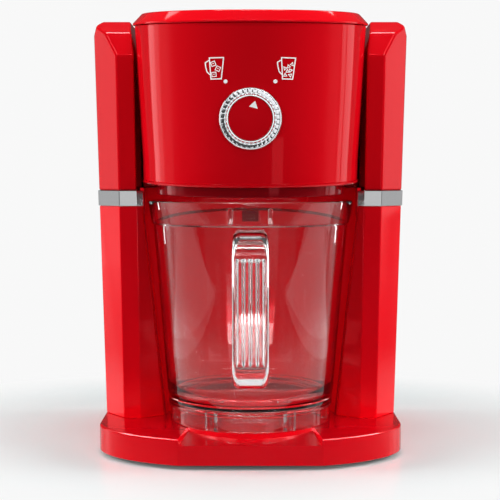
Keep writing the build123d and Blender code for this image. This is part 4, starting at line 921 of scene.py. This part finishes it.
def make_jug():
    """The jug with its skirt, ringed foot, round floor and rim band, then its lugs, ridges and handle."""
    ring = JUG_SKIRT + 1
    floor_top = JUG_FLOOR_H + JUG_FLOOR_THICKNESS
    inner_foot = jug_radius(floor_top) - JUG_WALL
    skirt_in = JUG_FOOT - JUG_WALL
    outline = rounded([
        (skirt_in, 0, 0.5), (JUG_FOOT, 0, 0.6), (JUG_FOOT, JUG_SKIRT - 0.4, 0.2), (JUG_RING, ring - 0.4, 0.9),
        (JUG_RING, ring + 1.6, 0.9), (JUG_FOOT + 0.1, ring + 2.1, 0.15), (JUG_RING, ring + 2.6, 0.9),
        (JUG_RING, ring + 4.6, 0.9), (JUG_FOOT + 1.0, ring + 5.4, 0.5), (JUG_WAIST, JUG_WAIST_H, 6.0),
        (JUG_SHOULDER, JUG_SHOULDER_H, 0.3), (JUG_BAND, JUG_SHOULDER_H + 1, 0.5), (JUG_RIM, JUG_HEIGHT, 0.9),
        (JUG_RIM - JUG_WALL, JUG_HEIGHT, 0.9), (JUG_SHOULDER - JUG_WALL + 0.6, JUG_SHOULDER_H + 1, 1.0),
        (inner_foot, floor_top, JUG_FLOOR_ROUND), (0, floor_top, 0), (0, JUG_FLOOR_H, 0),
        (skirt_in, JUG_FLOOR_H, 0.5)], 8)
    shape = lathe([(radius, JUG_LOW + height) for radius, height in outline], segments=256)
    piece = make_piece("jug_body", shape, "jug", "clear_plastic")
    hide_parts("jug")
    half, outer, inner = JUG_LUG_WIDTH / 2, -skirt_in + 0.15, JUG_LUG_DEPTH - skirt_in
    outline = [(-half, outer), (half, outer), (half, inner), (-half, inner)]
    lug = slab([(outline, JUG_LOW + FIT), (outline, JUG_LOW + JUG_FLOOR_H - SEAM_GAP)])
    for number in range(JUG_LUGS):
        turn = Matrix.Rotation(radians((number + 0.5) * 360 / JUG_LUGS), 4, "Z")
        shape = moved(Matrix.Translation((0, AXIS_Y, 0)) @ turn, lug)
        make_piece(f"jug_lug_{number + 1}", shape, "jug", "clear_plastic", bevel=0.8)
    make_pins()
    make_handle()


def make_pins():
    """Two upright ridges on the jug's band, either side of the handle."""
    half = PIN_WIDTH / 2
    reach = PIN_HEIGHT / 2 - half
    outline = arc(0, reach, half, 0, pi, 8) + arc(0, -reach, half, pi, pi, 8)
    # How far each level stands out, and its share of the full width and height
    levels = ((-0.4, 1.0, 1.0), (PIN_PROUD - 0.5, 1.0, 1.0), (PIN_PROUD, 0.75, 0.94))
    for number, side in enumerate((-1, 1)):
        rows = []
        for proud, width_share, height_share in levels:
            row = []
            for x, z in outline:
                height = PIN_CENTRE_H + z * height_share
                share = (height - JUG_SHOULDER_H) / (JUG_HEIGHT - JUG_SHOULDER_H)
                radius = JUG_BAND + share * (JUG_RIM - JUG_BAND) + proud
                real_x = side * PIN_SPREAD + x * width_share
                row.append((real_x, AXIS_Y - sqrt(radius ** 2 - real_x ** 2), JUG_LOW + height))
            rows.append(row)
        make_piece(f"jug_ridge_{number + 1}", lofted(rows), "jug", "clear_plastic", sharp=50)


def handle_section(depth, corner):
    """The handle cut across: flat behind, rails and round ribs in front. Points are (across, outward)."""
    half = HANDLE_WIDTH / 2
    edge = half - HANDLE_RAIL
    pitch = 2 * edge / HANDLE_RIBS
    rib_half = pitch / 2 - 0.15
    valley = HANDLE_THICK - max(0.1, HANDLE_RIB_DEPTH * depth)
    rise = HANDLE_RIB_RISE * depth
    steps = 8
    turns = [pi * step / steps for step in range(steps + 1)]
    right = rounded([(half, 0, 2.0), (half, HANDLE_THICK, corner), (edge, HANDLE_THICK, 0.05 + 0.8 * depth),
                     (edge, valley, 0), (0, valley, 0), (0, 0, 0)], 4)[:-2]
    ribs = [(edge - pitch * (rib + 0.5) + rib_half * cos(turn), valley + rise * sin(turn))
            for rib in range(HANDLE_RIBS) for turn in turns]
    return right + ribs + [(-across, outward) for across, outward in reversed(right)]


def make_handle():
    """A bar bent twice at right angles. The ribs run along its upright part only."""
    low, high = JUG_LOW + HANDLE_LOW_H, JUG_LOW + HANDLE_HIGH_H
    inner_y = HANDLE_FRONT_Y + HANDLE_THICK
    centre_low, centre_high = low + HANDLE_THICK + HANDLE_BEND, high - HANDLE_THICK - HANDLE_BEND
    sunk = 1.4
    root_high = AXIS_Y - jug_radius(HANDLE_HIGH_H - HANDLE_THICK / 2) + sunk
    root_low = AXIS_Y - jug_radius(HANDLE_LOW_H + HANDLE_THICK / 2) + sunk
    steps = 10
    # Distance from the bend, and how deep the ribs are there
    fade = ((1.0, 0.35), (2.0, 0.75), (3.2, 1.0))
    frames = [((root_high, high - HANDLE_THICK), (0, 1), 0, HANDLE_END_CORNER)]
    for centre, first in ((centre_high, pi / 2), (centre_low, pi)):
        if first == pi:
            upright_part = [(centre_high - drop, depth) for drop, depth in fade]
            upright_part += [(centre_low + rise, depth) for rise, depth in reversed(fade)]
            frames += [((inner_y, z), (-1, 0), depth, HANDLE_CORNER) for z, depth in upright_part]
        for step in range(steps + 1):
            angle = first + pi / 2 * step / steps
            out = (cos(angle), sin(angle))
            corner = HANDLE_CORNER + (HANDLE_END_CORNER - HANDLE_CORNER) * abs(out[1])
            place = (inner_y + HANDLE_BEND + HANDLE_BEND * out[0], centre + HANDLE_BEND * out[1])
            frames.append((place, out, 0, corner))
    frames.append(((root_low, low + HANDLE_THICK), (0, -1), 0, HANDLE_END_CORNER))
    rows = [[(across, y + out_y * outward, z + out_z * outward)
             for across, outward in handle_section(depth, corner)]
            for (y, z), (out_y, out_z), depth, corner in frames]
    piece = make_piece("jug_grip", lofted(rows), "jug", "clear_plastic", sharp=32)
    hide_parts("jug_handle")


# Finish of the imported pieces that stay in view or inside

def dress_packed_pieces():
    """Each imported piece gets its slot's material. Those in view also get smooth shading and eased edges."""
    slots = {row["node"]: row["material_slot"] for row in frame["record"]["subparts"]}
    for node, piece in frame["nodes"].items():
        piece.data.materials.clear()
        piece.data.materials.append(MATERIALS[slots[node]])
        if piece.hide_render:
            continue
        weld = piece.modifiers.new("weld", "WELD")
        weld.merge_threshold = 0.005 * MM
        flat = piece.modifiers.new("flat_faces", "DECIMATE")
        flat.decimate_type = "DISSOLVE"
        flat.angle_limit = radians(1)
        smoothed(piece.data)
        eased(piece, 0.25, 2, 35)
        shading = piece.modifiers.new("shading", "WEIGHTED_NORMAL")
        shading.keep_sharp = True


# Floor, lamps and surroundings

FILL, CARD, SHEEN = "fill", "card", "sheen"


def lamp(name, stand, size, radiance, kind, reach=None):
    """A soft panel at a place, facing a point, that lights all pieces or only those in its reach.

    A fill lights surfaces without showing in their gloss. A sheen shows in the gloss alone. A card does both.
    """
    place, aim = stand
    data = bpy.data.lights.new(name, "AREA")
    data.shape = "RECTANGLE"
    data.size, data.size_y = size
    data.energy = radiance * pi * size[0] * size[1]
    panel = bpy.data.objects.new(name, data)
    panel.location = place
    panel.rotation_euler = (Vector(aim) - Vector(place)).to_track_quat("-Z", "Y").to_euler()
    panel.visible_camera = False
    panel.visible_glossy = kind != FILL
    panel.visible_transmission = kind != FILL
    panel.visible_diffuse = kind != SHEEN
    bpy.context.collection.objects.link(panel)
    if reach:
        pieces = bpy.data.collections.new(name + "_reach")
        for piece in reach:
            pieces.objects.link(bpy.data.objects[piece])
        panel.light_linking.receiver_collection = pieces


def towards(azimuth, elevation, distance, centre):
    """A place at a distance from a point, and the point. Azimuth 0 is the camera's side, more is its left."""
    turn, rise = radians(azimuth), radians(elevation)
    return (centre[0] - distance * sin(turn) * cos(rise), centre[1] - distance * cos(turn) * cos(rise),
            centre[2] + distance * sin(rise)), centre


def make_lights():
    """Fills and cards for the red covers, and lamps that reach the jug, knob, base or chrome bands alone."""
    middle, top, bay = (0, 0, 0.17), (0, 0, 0.30), (0, 0, 0.12)
    knob, jug_foot, base_front, channel = (0, 0, 0.245), (0, 0, 0.05), (0, -0.1, 0.03), (0, -0.08, 0.02)
    pieces = [piece.name for piece in bpy.data.objects if piece.type == "MESH"]
    uppers, lowers, bands = ([f"{side}_{part}" for side in ("left", "right")]
                             for part in ("upper_cover", "lower_cover", "trim_band"))
    crown = uppers + ["hopper_lid"]
    bay_pieces = ["bay_wall", "bay_bulkhead"]
    base = ["base_cover"]
    clear = [name for name in pieces if name.startswith("jug_")
             and bpy.data.objects[name].data.materials[0] == MATERIALS["clear_plastic"]]
    fittings = [name for name in clear if name != "jug_body"]
    sides = (("left", 1), ("right", -1))

    def all_but(left_out):
        return [name for name in pieces if name not in left_out]

    lamp("front_fill", towards(0, 5, 1.7, bay), (1.4, 0.8), 4.8, FILL, all_but(uppers + lowers))
    for side, turn in sides:
        for level, radiance in (("upper", 2.4), ("lower", 12.0)):
            lamp(f"{side}_{level}_fill", towards(35 * turn, 5, 1.5, middle), (0.5, 0.8), radiance, FILL,
                 [f"{side}_{level}_cover"])
    lamp("crown_fill", towards(0, 72, 1.3, top), (0.6, 0.4), 14.0, FILL, crown)
    lamp("bay_card", towards(0, 3, 1.5, bay), (0.55, 0.5), 12.0, CARD, bay_pieces)
    for (side, turn), (far, _) in zip(sides, reversed(sides)):
        shaded = [f"{far}_upper_cover", f"{far}_lower_cover"] + bay_pieces
        lamp(f"side_fill_{side}", towards(95 * turn, 8, 1.4, middle), (0.8, 1.1), 11.0, FILL, all_but(shaded))
    for name, azimuth, width, radiance in (
            ("left_strip", 112.5, 0.26, 1.6), ("left_edge", 103.5, 0.20, 0.8),
            ("left_dim", 92, 0.36, 0.25), ("right_strip", -115, 0.34, 0.95),
            ("right_edge", -103.5, 0.16, 0.9), ("right_dim", -90, 0.36, 0.12)):
        lamp(name, towards(azimuth, 6, 1.5, middle), (width, 1.7), radiance, CARD, all_but(bands))
    for side, turn in sides:
        lamp(f"key_{side}", towards(40 * turn, 50, 1.8, middle), (0.5, 0.5), 5.0, CARD)
    lamp("front_top", towards(0, 48, 1.6, top), (0.5, 0.25), 22.0, CARD, crown)
    lamp("overhead", towards(180, 74, 1.3, top), (0.6, 0.25), 18.0, CARD, pieces)
    lamp("back_left", towards(126, 50, 1.3, top), (0.16, 0.16), 3.0, CARD, all_but(uppers))
    lamp("back_right", towards(-131, 50, 1.3, top), (0.16, 0.16), 4.5, CARD, all_but(uppers))
    lamp("front_card", towards(-27, -2, 1.5, middle), (0.30, 0.35), 0.8, CARD)
    for name, azimuth, elevation, size, radiance in (
            ("jug_left", 92, 4, (0.42, 0.9), 0.70), ("jug_right", -94, 4, (0.62, 0.9), 0.60),
            ("jug_line_left", 122, 4, (0.05, 0.9), 12.0), ("jug_line_right", -120, 4, (0.08, 0.9), 9.0),
            ("jug_high", 0, 42, (1.2, 0.12), 26.0)):
        lamp(name, towards(azimuth, elevation, 1.3, bay), size, radiance, CARD, clear)
    for side, turn in sides:
        lamp(f"handle_{side}", towards(40 * turn, 5, 1.3, bay), (0.22, 0.9), 2.4, SHEEN, fittings)
    for name, x, radiance in (("jug_floor_left", -1.10, 0.5), ("jug_floor_right", 1.10, 0.65)):
        lamp(name, ((x, -0.12, 0.003), (x, -0.12, 1.0)), (1.6, 0.5), radiance, CARD, clear)
    lamp("jug_low", towards(0, 0, 1.1, jug_foot), (1.4, 0.08), 8.0, CARD, clear)
    lamp("knob_card", towards(-14, 0, 1.3, knob), (1.0, 1.3), 1.1, CARD, ["bezel_ring", "grip_ring"])
    for name, azimuth in (("base_edge", 0), ("base_edge_left", 68), ("base_edge_right", -68)):
        lamp(name, towards(azimuth, 45, 1.3, base_front), (1.5, 0.5), 36.0, SHEEN, base)
    lamp("deck_fill", (towards(0, 72, 1.3, top)[0], channel), (0.6, 0.4), 4.5, FILL, base)
    for name, azimuth, width, radiance in (("band_card", 0, 1.3, 0.55), ("band_left", 112, 0.9, 0.42),
                                           ("band_right", -112, 0.9, 0.42)):
        lamp(name, towards(azimuth, 4, 1.3, middle), (width, 0.9), radiance, CARD, bands)


def make_world():
    """Surroundings: dim, a little darker behind the object, and white wherever the camera looks."""
    world = bpy.data.worlds.new("studio")
    world.use_nodes = True
    bpy.context.scene.world = world
    tree = world.node_tree
    coordinates = new_node(tree, "TexCoord")
    split = new_node(tree, "SeparateXYZ", {"Vector": coordinates.outputs["Generated"]})
    dim = ranged(tree, split.outputs["Y"], 0.11, 0.07, -0.35, 0.55, "SMOOTHSTEP")
    background = tree.nodes["Background"]
    background.inputs["Color"].default_value = (1, 1, 1, 1)
    strength = camera_apart(tree, new_node(tree, "LightPath"), dim, WHITE_BACKDROP)
    tree.links.new(strength, background.inputs["Strength"])


def make_floor():
    """A pale table that fades with distance: to the backdrop for the camera, to the dark for the rest."""
    rim = [(x, y, 0) for x, y in arc(0, 0, 4.0, 0, 2 * pi, 96)[:-1]]
    mesh = bpy.data.meshes.new("floor")
    mesh.from_pydata(rim, [], [list(range(len(rim)))])
    floor = bpy.data.objects.new("floor", mesh)
    bpy.context.collection.objects.link(floor)
    material, tree, shader = new_material("floor")
    coordinates = new_node(tree, "TexCoord")
    centred = new_node(tree, "Mapping", {"Vector": coordinates.outputs["Object"]},
                       {"Location": (0, -0.06, 0), "Scale": (0.7, 1, 1)})
    length = new_node(tree, "VectorMath", {0: centred.outputs["Vector"]}, operation="LENGTH").outputs["Value"]
    path = new_node(tree, "LightPath")
    shade = camera_apart(tree, path, ranged(tree, length, 0.75, 0.06, 0.18, 0.40, "SMOOTHSTEP"), 0.93)
    tones = {"A": (0, 0, 0, 1), "B": (0.92, 1, 1, 1)}
    tone = new_node(tree, "Mix", {"Factor": shade}, tones, data_type="RGBA")
    tree.links.new(tone.outputs["Result"], shader.inputs["Base Color"])
    shader.inputs["Roughness"].default_value = 0.12
    away = ranged(tree, length, 0.0, 1.0, 0.13, 0.26, "SMOOTHSTEP")
    seen = combined(tree, "MULTIPLY", away, path.outputs["Is Camera Ray"])
    glow = new_node(tree, "Emission", values={"Strength": WHITE_BACKDROP})
    mixed(tree, seen, shader.outputs["BSDF"], glow.outputs["Emission"])
    mesh.materials.append(material)


make_camera()
make_towers()
make_bay_liner()
make_base()
make_drum()
make_deck()
make_hinge()
make_lid()
make_collar()
make_knob()
make_symbols()
make_pointer()
make_jug()
make_jug_switch()
dress_packed_pieces()
make_floor()
make_world()
make_lights()
bpy.context.scene.view_settings.view_transform = "Standard"

bpy.context.view_layer.update()
